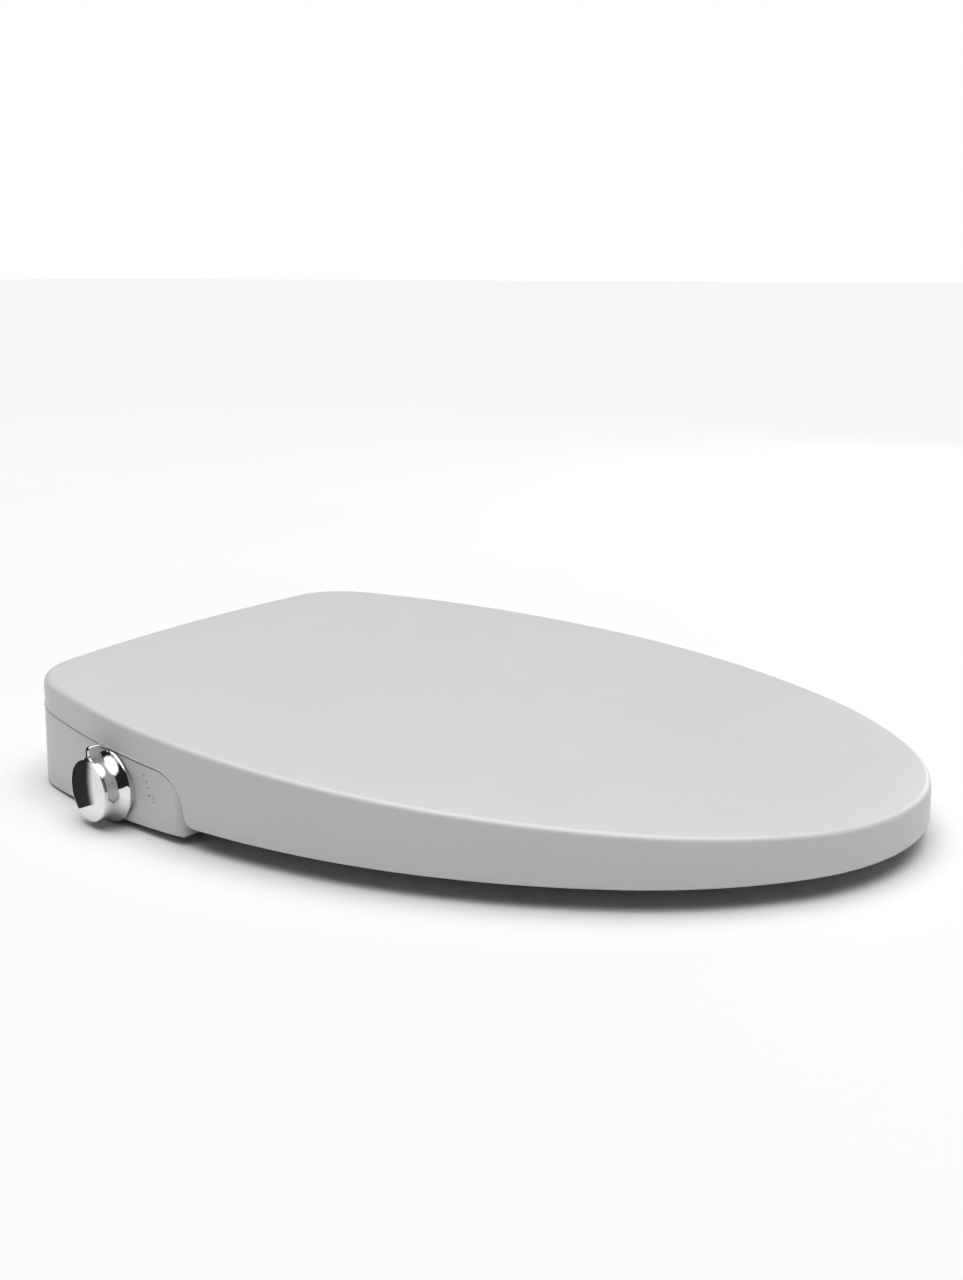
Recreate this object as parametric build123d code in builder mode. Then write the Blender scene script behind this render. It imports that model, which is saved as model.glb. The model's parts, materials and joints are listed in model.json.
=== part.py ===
from build123d import *

import os
from math import cos, radians, sin, tan

# A slim water-pressure bidet seat: lid, seat ring, rear housing, twin nozzles, side valve
# and quick-release mounting. Millimetres. +Z is up, the front tip points along -Y, and the
# origin is on the bowl's rim, midway between the two mounting slots.

# --- driving dimensions: outline and heights ---
FRONT_Y = -467.0
# half of the plan outline from the front tip: (radius, degrees) of each tangent arc
OUTLINE_ARCS = ((131.0, 38.25), (230.0, 23.75), (385.0, 25.45), (470.0, 24.1), (49.5, 62.7))
FOOT_STRETCH = 0.45
TOP_SLOPE = radians(3.95)
TOP_AT_ORIGIN = 63.9
TALL = 75.0
WIDE = 220.0

# --- lid ---
LID_FOOT = 11.0
LID_WALL = 3.0
LID_TOP = 3.2
LID_EDGE_R = 4.5
SKIRT_DEPTH = 18.0
ZONE_FRONT = -137.0
ZONE_R = 22.0
ZONE_FOOT_R = 6.5

# --- seat ---
SEAT_INSET = 5.5
SEAT_FOOT = 10.0
SEAT_DROP = 6.0
SEAT_WALL = 3.0
DECK_DROP = 15.5
DECK_REAR = 0.0
SEAT_REAR = -139.2
RING_Y = -255.0
RING_A = 105.0
RING_B = 145.0
RING_EDGE_R = 5.0
UNDERSIDE = 2.5

# --- housing ---
HOUSING_INSET = 0.6
HOUSING_DROP = 18.6
HOUSING_FRONT = -136.3
WALL = 2.5
BOWL_A = 118.0
BOWL_B = 155.0
TRAY_INSET = 3.6
TRAY_BASE = 3.0
TRAY_FLOOR = 5.5
TRAY_RIM = 14.0
POCKET_X = 95.0
POCKET_FRONT = -35.0
POCKET_TOP = 6.8
POCKET_WALL = 2.2
CORNER_R = 7.0
REAR_FOOT = 7.0
SCREW_SPOTS = ((150.0, -115.0), (150.0, -33.0), (38.0, -88.0))
BOSS_R = 4.0
SCREW_R = 1.5

# --- hinge ---
HINGE_Y = 16.5
HINGE_Z = 55.3
SHAFT_R = 3.0
RUNNING = 0.05
KNUCKLE_R = 5.8
POST_R = 6.0
TROUGH_R = 14.2
SEAT_EAR = (46.0, 57.0)
POST = (58.0, 90.0)
LID_EAR = (91.0, 100.0)
NOTCH = (44.0, 90.5)
BUSH_R = 4.2
BARREL_R = 4.8
BARREL_LENGTH = 27.0

# --- mounting plate ---
BOLT_SPACING = 140.0
SLOT_LENGTH = 26.0
SLOT_R = 4.5
PLATE_X = 93.0
PLATE_FRONT = -33.0
PLATE_REAR = 25.0
PLATE_THICK = 5.0

# --- valve and knob: its axis stands square to the side of the housing ---
KNOB_AT = (-174.5, -76.0, 20.4)
KNOB_OUT = (-0.974, 0.2265, 0.0)
KNOB_R = 17.0
KNOB_REACH = 14.0
KNOB_CEILING = 11.0
KNOB_FLARE = 20.6
STEM_TOP = 8.5
TAB_TOP = 24.7
TAB_REAR = 2.0
TAB_THICK = 3.0
KNOB_WALL = 2.2
BEZEL_R = 19.0
VALVE_R = 12.5
VALVE_BORE = 9.5
VALVE_END = -38.0
STEM_R = 4.0

# the dished hollow round the knob: half its height, and its depth
SCOOP_TALL = 14.0
SCOOP_DEEP = 2.2
BEZEL_SEAT = -2.0
# x and y of the valve's inlet port and its two outlet ports
PORTS = ((-6.0, 0.0), (3.0, 5.2), (3.0, -5.2))

# --- quick-release button ---
BUTTON_AT = (170.3, -62.0, 17.0)
BUTTON_OUT = (0.958, 0.287, 0.0)
BUTTON_LONG = 24.0
BUTTON_TALL = 11.0
BUTTON_PROUD = 3.0

# --- nozzles ---
NOZZLE_X = 9.0
NOZZLE_TIP = (0.0, -96.0, 9.3)
NOZZLE_TILT = radians(20.0)
NOZZLE_R = 4.42
NOZZLE_LENGTH = 60.0
GUIDE_BORE = 6.0
GUIDE_R = 7.5
GUIDE_START = 3.0
GUIDE_END = 62.0
BUSH_END = 8.0

# --- gate in front of the nozzles ---
GATE_Y = -106.6
GATE_Z = 31.0
GATE_X = 23.0
GATE_PIN_R = 1.2

# --- water inlet: G 1/2 thread ---
INLET_FACE = 31.5
INLET_X = -50.0
INLET_Z = 24.0
INLET_R = 10.475
INLET_REACH = 44.0

# --- hoses ---
HOSE_R = 2.9
HOSE_BORE = 1.7

os.makedirs("parts", exist_ok=True)

KNOB_PLANE = Plane(origin=KNOB_AT, x_dir=(-KNOB_OUT[1], KNOB_OUT[0], 0), z_dir=KNOB_OUT)
BUTTON_PLANE = Plane(origin=BUTTON_AT, x_dir=(-BUTTON_OUT[1], BUTTON_OUT[0], 0), z_dir=BUTTON_OUT)
NOZZLE_BACK = (0.0, cos(NOZZLE_TILT), sin(NOZZLE_TILT))
NOZZLE_PLANE = Plane(origin=NOZZLE_TIP, x_dir=(1, 0, 0), z_dir=NOZZLE_BACK)
SIDES = (-1, 1)


def save(builder, name):
    """Label a finished piece and write it to its own file."""
    builder.part.label = name
    export_step(builder.part, f"parts/{name}.step")


def top_z(y, drop=0.0):
    """Height of the plane that lies drop below the lid's top, at this y."""
    return TOP_AT_ORIGIN - drop + y * tan(TOP_SLOPE)


def top_plane(drop):
    """The lid's top plane, lowered by drop."""
    return Plane(origin=(0, 0, TOP_AT_ORIGIN - drop), x_dir=(1, 0, 0),
                 z_dir=(0, -sin(TOP_SLOPE), cos(TOP_SLOPE)))


def outline_arcs(inset, stretch=0.0):
    """Both halves of the plan outline, as tangent arcs that all keep their centres when inset."""
    heading = 0.0
    start = Vector(0, FRONT_Y + inset)
    turns = [turn for _, turn in OUTLINE_ARCS]
    turns[3] += stretch
    turns[4] -= stretch
    for (radius, _), turn in zip(OUTLINE_ARCS, turns):
        direction = (cos(radians(heading)), sin(radians(heading)))
        arc = JernArc(start=start, tangent=direction, radius=radius - inset, arc_size=turn)
        start = arc @ 1
        heading += turn
    direction = (cos(radians(heading)), sin(radians(heading)))
    rear_radius = start.X / sin(radians(180 - heading))
    JernArc(start=start, tangent=direction, radius=rear_radius, arc_size=180 - heading)
    mirror(about=Plane.YZ)


def plan_block(inset, foot, drop):
    """The plan outline carried up from a level foot to a plane parallel to the lid's top."""
    with BuildPart() as block:
        with BuildSketch(Plane.XY.offset(foot)):
            with BuildLine():
                outline_arcs(inset)
            make_face()
        extrude(amount=TALL)
        split(bisect_by=top_plane(drop), keep=Keep.BOTTOM)
    return block.part


def housing_block(inset, foot, drop):
    """The housing's body: its rear leans out towards the foot, and its front is cut square."""
    upper = top_z(0, HOUSING_DROP) + 8
    with BuildPart() as block:
        with BuildSketch(Plane.XY.offset(foot)):
            with BuildLine():
                outline_arcs(inset, FOOT_STRETCH * (upper - foot) / upper)
            make_face()
        with BuildSketch(Plane.XY.offset(upper)):
            with BuildLine():
                outline_arcs(inset)
            make_face()
        loft(ruled=True)
        split(bisect_by=top_plane(drop), keep=Keep.BOTTOM)
    return block.part


def side_zone(drop, front_y, corner_r, foot_z=-20.0, foot_r=0.0):
    """All that lies behind front_y and below a line parallel to the top, with rounded corners."""
    with BuildPart() as zone:
        with BuildSketch(Plane.YZ):
            with BuildLine():
                if foot_r:
                    FilletPolyline((TALL, top_z(TALL, drop)), (front_y, top_z(front_y, drop)),
                                   (front_y, foot_z), (front_y - 40, foot_z),
                                   radius=(corner_r, foot_r))
                    Polyline((front_y - 40, foot_z), (front_y - 40, -20), (TALL, -20),
                             (TALL, top_z(TALL, drop)))
                else:
                    FilletPolyline((TALL, top_z(TALL, drop)), (front_y, top_z(front_y, drop)),
                                   (front_y, foot_z), radius=corner_r)
                    Polyline((front_y, foot_z), (TALL, foot_z), (TALL, top_z(TALL, drop)))
            make_face()
        extrude(amount=WIDE, both=True)
    return zone.part


def oval_column(a, b):
    """The upright elliptical column over the bowl."""
    with BuildPart() as column:
        with BuildSketch(Plane.XY.offset(-20)):
            with Locations((0, RING_Y)):
                Ellipse(a, b)
        extrude(amount=TALL + 20)
    return column.part


def box_between(low, high):
    """A box from its lowest to its highest corner."""
    with BuildPart() as box:
        with Locations(tuple((a + b) / 2 for a, b in zip(low, high))):
            Box(*[b - a for a, b in zip(low, high)])
    return box.part


def x_rod(radius, x0, x1, y=HINGE_Y, z=HINGE_Z):
    """A round bar along X from x0 to x1."""
    with BuildPart() as rod:
        with BuildSketch(Plane.YZ.offset(min(x0, x1))):
            with Locations((y, z)):
                Circle(radius)
        extrude(amount=abs(x1 - x0))
    return rod.part


def turned(plane, profile):
    """A body turned about the plane's normal, from (radius, distance along the normal) points."""
    with BuildPart() as body:
        section = Plane(origin=plane.origin, x_dir=plane.x_dir, z_dir=plane.x_dir.cross(plane.z_dir))
        with BuildSketch(section):
            with BuildLine():
                Polyline(*profile, close=True)
            make_face()
        revolve(axis=Axis(plane.origin, plane.z_dir))
    return body.part


def along(plane, x, y, s):
    """A point given in the plane's own frame, as a Vector in the object's frame."""
    return plane.from_local_coords(Vector(x, y, s))


# --- lid ---


def make_lid_shell():
    outer = plan_block(0, LID_FOOT, 0)
    hollow = plan_block(LID_WALL, LID_FOOT - 5, LID_TOP)
    zone = side_zone(SKIRT_DEPTH, ZONE_FRONT, ZONE_R, LID_FOOT, ZONE_FOOT_R)
    with BuildPart() as ears:
        for side in SIDES:
            x0 = min(side * LID_EAR[0], side * LID_EAR[1])
            with BuildSketch(Plane.YZ.offset(x0)):
                with Locations((HINGE_Y, HINGE_Z)):
                    Circle(KNUCKLE_R)
                with BuildLine():
                    Polyline((HINGE_Y - KNUCKLE_R, HINGE_Z), (HINGE_Y + KNUCKLE_R, HINGE_Z),
                             (HINGE_Y + KNUCKLE_R, top_z(HINGE_Y, 2)),
                             (HINGE_Y - KNUCKLE_R, top_z(HINGE_Y, 2)), close=True)
                make_face()
            extrude(amount=LID_EAR[1] - LID_EAR[0])
    with BuildPart() as lid_shell:
        add(outer)
        rim = lid_shell.faces().filter_by(lambda f: f.normal_at().Z > 0.9).sort_by(SortBy.AREA)[-1]
        fillet(rim.edges(), LID_EDGE_R)
        add(hollow, mode=Mode.SUBTRACT)
        add(zone, mode=Mode.SUBTRACT)
        for side in SIDES:
            with Locations((side * (NOTCH[0] + NOTCH[1]) / 2, HINGE_Y + 13, HINGE_Z - 12)):
                Box(NOTCH[1] - NOTCH[0], 20, 2 * (top_z(HINGE_Y + 6, LID_TOP) - HINGE_Z + 12),
                    mode=Mode.SUBTRACT)
        add(ears.part)
        add(x_rod(BUSH_R, -LID_EAR[1] - 1, -LID_EAR[0] + 1), mode=Mode.SUBTRACT)
        add(x_rod(BUSH_R, LID_EAR[0] - 1, LID_EAR[1] + 1), mode=Mode.SUBTRACT)
    save(lid_shell, "lid_shell")


def bushes(name, ear, shaft_side):
    """Two flanged bushes: a round bore on the plain side, a flatted bore on the damper's side."""
    with BuildPart() as pair:
        for side in SIDES:
            x0 = min(side * ear[0], side * ear[1])
            with BuildSketch(Plane.YZ.offset(x0)):
                with Locations((HINGE_Y, HINGE_Z)):
                    Circle(BUSH_R)
                    Circle(SHAFT_R + RUNNING, mode=Mode.SUBTRACT)
            extrude(amount=ear[1] - ear[0])
            if side == shaft_side:
                for up in SIDES:
                    with Locations(((side * (ear[0] + ear[1]) / 2), HINGE_Y, HINGE_Z + up * 2.85)):
                        Box(ear[1] - ear[0], 3.4, 0.7)
    save(pair, name)


def damper_shaft(name, side, x0, x1, ear):
    """The damper's turning shaft, with two flats where it drives the ear."""
    with BuildPart() as shaft:
        add(x_rod(SHAFT_R, side * x0, side * x1))
        for up in SIDES:
            with Locations((side * (ear[0] + ear[1]) / 2, HINGE_Y, HINGE_Z + up * 4.0)):
                Box(ear[1] - ear[0] + 1, 8, 3.2, mode=Mode.SUBTRACT)
    save(shaft, name)


def pads_on_plane(name, spots, radius, top_drop, height):
    """Round rubber bumpers that hang below a plane parallel to the lid's top."""
    with BuildPart() as pads:
        with BuildSketch(top_plane(top_drop)):
            with Locations(*[(x, y / cos(TOP_SLOPE)) for x, y in spots]):
                Circle(radius)
        extrude(amount=-height)
        chamfer(pads.faces().filter_by(lambda f: f.normal_at().Z < -0.9).edges(), 0.8)
    save(pads, name)


# --- seat ---


def make_seat_ring():
    body = plan_block(SEAT_INSET, SEAT_FOOT, SEAT_DROP)
    zone = side_zone(DECK_DROP, SEAT_REAR, ZONE_R + 2.2)
    opening = oval_column(RING_A, RING_B)
    core = plan_block(SEAT_INSET + SEAT_WALL, SEAT_FOOT - 5, SEAT_DROP + SEAT_WALL)
    behind = box_between((-WIDE, SEAT_REAR - SEAT_WALL, -20), (WIDE, TALL, 120))
    collar = oval_column(RING_A + SEAT_WALL, RING_B + SEAT_WALL)
    with BuildPart() as hollow:
        add(core)
        add(behind, mode=Mode.SUBTRACT)
        add(collar, mode=Mode.SUBTRACT)
    deck_end = box_between((-WIDE, DECK_REAR, -20), (WIDE, TALL, 120))
    low = top_z(DECK_REAR, DECK_DROP) + 0.4
    high = top_z(DECK_REAR, SEAT_DROP) - 0.3
    with BuildPart() as arms:
        for side in SIDES:
            x0 = min(side * SEAT_EAR[0], side * SEAT_EAR[1])
            with BuildSketch(Plane.YZ.offset(x0)):
                with Locations((HINGE_Y, HINGE_Z)):
                    Circle(KNUCKLE_R)
                with BuildLine():
                    Polyline((DECK_REAR - 4, low), (HINGE_Y, HINGE_Z - KNUCKLE_R),
                             (HINGE_Y, HINGE_Z + KNUCKLE_R), (DECK_REAR - 4, high), close=True)
                make_face()
            extrude(amount=SEAT_EAR[1] - SEAT_EAR[0])
    with BuildPart() as seat_ring:
        add(body)
        add(deck_end, mode=Mode.SUBTRACT)
        add(opening, mode=Mode.SUBTRACT)
        top = seat_ring.faces().filter_by(lambda f: f.normal_at().Z > 0.9).sort_by(SortBy.AREA)[-1]
        fillet(top.edges().filter_by(lambda e: e.center().Y < DECK_REAR - 1), RING_EDGE_R)
        add(zone, mode=Mode.SUBTRACT)
        add(hollow.part, mode=Mode.SUBTRACT)
        add(arms.part)
        add(x_rod(BUSH_R, -SEAT_EAR[1] - 1, -SEAT_EAR[0] + 1), mode=Mode.SUBTRACT)
        add(x_rod(BUSH_R, SEAT_EAR[0] - 1, SEAT_EAR[1] + 1), mode=Mode.SUBTRACT)
    save(seat_ring, "seat_ring")


def make_seat_underside():
    behind = box_between((-WIDE, SEAT_REAR - SEAT_WALL - 0.1, -20), (WIDE, TALL, 120))
    collar = oval_column(RING_A + SEAT_WALL + 0.1, RING_B + SEAT_WALL + 0.1)
    with BuildPart() as seat_underside:
        with BuildSketch(Plane.XY.offset(SEAT_FOOT)):
            with BuildLine():
                outline_arcs(SEAT_INSET + SEAT_WALL + 0.1)
            make_face()
        extrude(amount=UNDERSIDE)
        add(behind, mode=Mode.SUBTRACT)
        add(collar, mode=Mode.SUBTRACT)
    save(seat_underside, "seat_underside")


def make_seat_bumpers():
    with BuildPart() as seat_bumpers:
        with BuildSketch():
            with Locations((-60, -390), (60, -390), (-131, -225), (131, -225)):
                SlotOverall(28, 14)
        extrude(amount=SEAT_FOOT)
        chamfer(seat_bumpers.faces().sort_by(Axis.Z)[0].edges(), 1.5)
    save(seat_bumpers, "seat_bumpers")


# --- housing ---


def side_scoop():
    """A long round bar whose shallow cut into the curved side leaves an oval hollow."""
    radius = (SCOOP_TALL ** 2 + SCOOP_DEEP ** 2) / (2 * SCOOP_DEEP)
    with BuildPart() as scoop:
        with BuildSketch(Plane(origin=KNOB_AT, x_dir=KNOB_OUT, z_dir=KNOB_PLANE.x_dir)):
            with Locations((radius - SCOOP_DEEP, 0)):
                Circle(radius)
        extrude(amount=60, both=True)
    return scoop.part


def front_corners():
    """What is cut from the cover's two upright front corners to round them."""
    with BuildPart() as corners:
        with BuildSketch(Plane.XY.offset(-20)):
            with Locations((0, HOUSING_FRONT - 20)):
                Rectangle(2 * WIDE, 2 * (CORNER_R + 20))
            add(rounded_plan(), mode=Mode.SUBTRACT)
        extrude(amount=TALL + 20)
    return corners.part


def rounded_plan():
    """The housing's plan a hair oversize, cut square at the front, with its two corners rounded."""
    with BuildSketch() as plan:
        with BuildLine():
            outline_arcs(HOUSING_INSET - 0.15)
        make_face()
        with Locations((0, HOUSING_FRONT - 200)):
            Rectangle(2 * WIDE, 400, mode=Mode.SUBTRACT)
        front = plan.vertices().filter_by(lambda v: abs(v.Y - HOUSING_FRONT) < 0.01)
        fillet(front, CORNER_R + 0.15)
    return plan.sketch


def make_rear_cover():
    outer = housing_block(HOUSING_INSET, 1.0, HOUSING_DROP)
    inner = housing_block(HOUSING_INSET + WALL, -5.0, HOUSING_DROP + WALL)
    front = side_zone(HOUSING_DROP, HOUSING_FRONT, ZONE_R - 0.7)
    inner_front = side_zone(HOUSING_DROP + WALL, HOUSING_FRONT + WALL, ZONE_R - 0.7 - WALL)
    bowl = oval_column(BOWL_A, BOWL_B)
    inner_bowl = oval_column(BOWL_A + WALL, BOWL_B + WALL)
    with BuildPart() as hollow:
        add(inner)
        add(inner_front, mode=Mode.INTERSECT)
        add(inner_bowl, mode=Mode.SUBTRACT)
        add(x_rod(TROUGH_R + WALL, -WIDE, WIDE), mode=Mode.SUBTRACT)
        add(turned(KNOB_PLANE, ((0, -5.0), (25, -5.0), (25, 20), (0, 20))), mode=Mode.SUBTRACT)
        with Locations(*[(side * x, y, 40) for side in SIDES for x, y in SCREW_SPOTS]):
            Cylinder(BOSS_R, 2 * (40 - TRAY_FLOOR - 0.1), mode=Mode.SUBTRACT)
        with BuildSketch(Plane.XZ.offset(-24)):
            with Locations((INLET_X, INLET_Z)):
                Circle(14)
        extrude(amount=-30, mode=Mode.SUBTRACT)
    with BuildPart() as rear_cover:
        add(outer)
        add(front, mode=Mode.INTERSECT)
        add(front_corners(), mode=Mode.SUBTRACT)
        add(bowl, mode=Mode.SUBTRACT)
        with BuildSketch(Plane.XZ.offset(-24)):
            with Locations((INLET_X, INLET_Z)):
                Circle(14)
        extrude(amount=-7.5)
        add(hollow.part, mode=Mode.SUBTRACT)
        add(x_rod(TROUGH_R, -WIDE, WIDE), mode=Mode.SUBTRACT)
        foot_slope = Plane(origin=(0, 0, 0.6), x_dir=(1, 0, 0), z_dir=(0, 0.03, 1))
        split(bisect_by=foot_slope, keep=Keep.TOP)
        with Locations((0, HINGE_Y + 22, REAR_FOOT / 2 - 2)):
            Box(2 * 138, 40, REAR_FOOT + 4, mode=Mode.SUBTRACT)
        for side in SIDES:
            with Locations((side * (POST[0] + POST[1]) / 2, HINGE_Y - 5.5, HINGE_Z - 12)):
                Box(POST[1] - POST[0] + 1, 12, 14, mode=Mode.SUBTRACT)
        with Locations((0, -100, 9)):
            Box(44, 16, 14.4, mode=Mode.SUBTRACT)
        with Locations(*[(side * x, y, 12) for side in SIDES for x, y in SCREW_SPOTS]):
            Cylinder(SCREW_R - 0.2, 16, mode=Mode.SUBTRACT)
        add(turned(KNOB_PLANE, ((0, BEZEL_SEAT), (BEZEL_R + 0.3, BEZEL_SEAT), (BEZEL_R + 0.3, 8), (0, 8))),
            mode=Mode.SUBTRACT)
        add(turned(KNOB_PLANE, ((0, -8.0), (9.3, -8.0), (9.3, 0), (0, 0))), mode=Mode.SUBTRACT)
        add(side_scoop(), mode=Mode.SUBTRACT)
        with BuildSketch(Plane.XZ.offset(-20)):
            with Locations((INLET_X, INLET_Z)):
                Circle(10.6)
        extrude(amount=-16, mode=Mode.SUBTRACT)
        with BuildSketch(BUTTON_PLANE.offset(-8)):
            SlotOverall(BUTTON_LONG + 0.8, BUTTON_TALL + 0.8)
        extrude(amount=20, mode=Mode.SUBTRACT)
    save(rear_cover, "rear_cover")


def make_base_tray():
    with BuildPart() as body:
        with BuildSketch(Plane.XY.offset(TRAY_BASE)):
            with BuildLine():
                outline_arcs(TRAY_INSET)
            make_face()
        extrude(amount=TRAY_RIM - TRAY_BASE)
    with BuildPart() as well:
        with BuildSketch(Plane.XY.offset(TRAY_FLOOR)):
            with BuildLine():
                outline_arcs(TRAY_INSET + 2)
            make_face()
        extrude(amount=30)
        with Locations((0, POCKET_FRONT - POCKET_WALL + 50, TRAY_FLOOR)):
            Box(2 * (POCKET_X + POCKET_WALL), 100, 2 * (POCKET_TOP + POCKET_WALL - TRAY_FLOOR),
                mode=Mode.SUBTRACT)
    inner_bowl = oval_column(BOWL_A + WALL + 0.5, BOWL_B + WALL + 0.5)
    front = HOUSING_FRONT + WALL + 0.5
    with BuildPart() as base_tray:
        add(body.part)
        add(well.part, mode=Mode.SUBTRACT)
        add(box_between((-WIDE, -500, -20), (WIDE, front, 60)), mode=Mode.SUBTRACT)
        add(inner_bowl, mode=Mode.SUBTRACT)
        add(box_between((-POCKET_X, POCKET_FRONT, -1), (POCKET_X, 60, POCKET_TOP)),
            mode=Mode.SUBTRACT)
        add(box_between((-22, -110, -1), (22, -79, 20)), mode=Mode.SUBTRACT)
        with Locations(KNOB_PLANE.offset(-5)):
            Box(62, 2 * (KNOB_AT[2] - TRAY_FLOOR), 10, mode=Mode.SUBTRACT)
        add(turned(KNOB_PLANE, ((0, -5.4), (26, -5.4), (26, 4), (0, 4))), mode=Mode.SUBTRACT)
        add(box_between((INLET_X - 15, 0, TRAY_FLOOR + 4), (INLET_X + 15, 60, 40)), mode=Mode.SUBTRACT)
        with Locations(*[(side * x, y, TRAY_FLOOR) for side in SIDES for x, y in SCREW_SPOTS]):
            Cylinder(SCREW_R + 0.3, 20, mode=Mode.SUBTRACT)
        with BuildSketch(BUTTON_PLANE.offset(-12)):
            SlotOverall(BUTTON_LONG + 5, BUTTON_TALL + 5)
        extrude(amount=24, mode=Mode.SUBTRACT)
    save(base_tray, "base_tray")


def make_base_pads():
    with BuildPart() as base_pads:
        with BuildSketch():
            with Locations((-152, -98), (152, -98), (-118, 2), (118, 2)):
                SlotOverall(26, 14)
        extrude(amount=TRAY_BASE)
        chamfer(base_pads.faces().sort_by(Axis.Z)[0].edges(), 0.6)
    save(base_pads, "base_pads")


def make_casing_screws():
    with BuildPart() as casing_screws:
        with Locations(*[(side * x, y, 0) for side in SIDES for x, y in SCREW_SPOTS]):
            with Locations((0, 0, TRAY_BASE - 0.9)):
                Cylinder(3.2, 1.8)
            with Locations((0, 0, TRAY_BASE + 8)):
                Cylinder(SCREW_R - 0.2, 16)
    save(casing_screws, "casing_screws")


# --- hinge blocks and dampers ---


def hinge_block(name, side, barrel_x, plain_x):
    """A post that holds the damper's barrel at one end and a plain pin at the other."""
    floor = POCKET_TOP + POCKET_WALL
    x0 = min(side * POST[0], side * POST[1])
    with BuildPart() as block:
        with BuildSketch(Plane.YZ.offset(x0)):
            with Locations((HINGE_Y, HINGE_Z)):
                Circle(POST_R)
            with BuildLine():
                Polyline((HINGE_Y - 11, floor), (HINGE_Y - 0.5, floor), (HINGE_Y - 0.5, HINGE_Z),
                         (HINGE_Y - POST_R, HINGE_Z), (HINGE_Y - 11, HINGE_Z - 9), close=True)
            make_face()
        extrude(amount=POST[1] - POST[0])
        middle = side * (POST[0] + POST[1]) / 2
        with Locations((middle, HINGE_Y - 9.5, floor + 1.5)):
            Box(POST[1] - POST[0], 18, 3)
        add(x_rod(BARREL_R, side * barrel_x[0], side * barrel_x[1]), mode=Mode.SUBTRACT)
        add(x_rod(SHAFT_R, side * plain_x[0], side * plain_x[1]), mode=Mode.SUBTRACT)
        with Locations((middle, HINGE_Y - 5.7, (floor + HINGE_Z - 14) / 2 + 2)):
            Box(POST[1] - POST[0] - 8, 5.5, HINGE_Z - floor - 22, mode=Mode.SUBTRACT)
    save(block, name)


def damper_body(name, side, x0, x1):
    with BuildPart() as body:
        add(x_rod(BARREL_R, side * x0, side * x1))
        closed = x1 - 2 if x1 > x0 else x1 + 2
        add(x_rod(SHAFT_R + RUNNING, side * x0, side * closed), mode=Mode.SUBTRACT)
    save(body, name)


def make_hinge_pins():
    with BuildPart() as hinge_pins:
        add(x_rod(SHAFT_R, -(SEAT_EAR[0] + 0.5), -(POST[0] + 5)))
        add(x_rod(SHAFT_R, LID_EAR[1] - 0.5, POST[1] - 5))
    save(hinge_pins, "hinge_pins")


# --- mounting plate ---


def make_mounting_plate():
    with BuildPart() as mounting_plate:
        add(box_between((-PLATE_X, PLATE_FRONT, 0), (PLATE_X, PLATE_REAR, PLATE_THICK)))
        fillet(mounting_plate.edges().filter_by(Axis.Z), 6)
        for side in SIDES:
            with Locations((side * BOLT_SPACING / 2, -3, PLATE_THICK / 2)):
                Box(38, 44, PLATE_THICK + 2, mode=Mode.SUBTRACT)
        with BuildSketch(Plane.XY.offset(PLATE_THICK - 1.6)):
            with GridLocations(24, 0, 3, 1):
                SlotOverall(40, 12, rotation=90)
        extrude(amount=2, mode=Mode.SUBTRACT)
        with Locations((PLATE_X - 2, 0, PLATE_THICK / 2)):
            Box(8, 12.6, PLATE_THICK + 2, mode=Mode.SUBTRACT)
    save(mounting_plate, "mounting_plate")


def make_bolt_adjusters():
    with BuildPart() as bolt_adjusters:
        with BuildSketch():
            for side in SIDES:
                with Locations((side * BOLT_SPACING / 2, 0)):
                    Rectangle(37.6, 26)
                    with GridLocations(0, 4, 1, 6):
                        Rectangle(37.8, 2)
                    SlotOverall(SLOT_LENGTH, 2 * SLOT_R, mode=Mode.SUBTRACT)
        extrude(amount=PLATE_THICK)
    save(bolt_adjusters, "bolt_adjusters")


# --- quick-release button on the right side ---


def make_release_button():
    with BuildPart() as release_button:
        with BuildSketch(BUTTON_PLANE.offset(-6)):
            SlotOverall(BUTTON_LONG, BUTTON_TALL)
        extrude(amount=6 + BUTTON_PROUD)
        fillet(release_button.faces().sort_by(Axis(BUTTON_AT, BUTTON_OUT))[-1].edges(), 1.5)
        with BuildSketch(BUTTON_PLANE.offset(-8)):
            SlotOverall(BUTTON_LONG + 3.5, BUTTON_TALL + 3.5)
        extrude(amount=2.2)
        with BuildSketch(BUTTON_PLANE.offset(-17)):
            Circle(2.4)
        extrude(amount=10)
    save(release_button, "release_button")


def make_latch_holder():
    low = TRAY_FLOOR - BUTTON_AT[2]
    with BuildPart() as latch_holder:
        with BuildSketch(BUTTON_PLANE.offset(-24)):
            with Locations((0, (low + 7) / 2)):
                Rectangle(20, 7 - low)
            Circle(2.46, mode=Mode.SUBTRACT)
        extrude(amount=4)
        with BuildSketch(BUTTON_PLANE.offset(-24)):
            with Locations((0, low + 1.5)):
                Rectangle(20, 3)
        extrude(amount=10)
    save(latch_holder, "latch_holder")


def make_latch_bar():
    with BuildPart() as latch_bar:
        with BuildSketch(BUTTON_PLANE.offset(-30)):
            Circle(2.4)
        extrude(amount=13)
        foot = along(BUTTON_PLANE, 0, 0, -32)
        with Locations((foot.X, foot.Y, foot.Z)):
            Box(10, 8, 8)
    save(latch_bar, "latch_bar")


def spring(name, plane, mean_r, wire_r, start, end, turns, offsets=((0.0, 0.0),)):
    """Close-wound wire coils between two distances along the plane's normal."""
    with BuildPart() as coil:
        for x, y in offsets:
            base = Plane(origin=along(plane, x, y, start), x_dir=plane.x_dir, z_dir=plane.z_dir)
            path = Helix(pitch=(end - start) / turns, height=end - start, radius=mean_r,
                         mode=Mode.PRIVATE)
            path = base * path
            with BuildSketch(Plane(origin=path @ 0, z_dir=path % 0)):
                Circle(wire_r)
            sweep(path=path, is_frenet=True)
    save(coil, name)


# --- valve and knob ---


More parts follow.
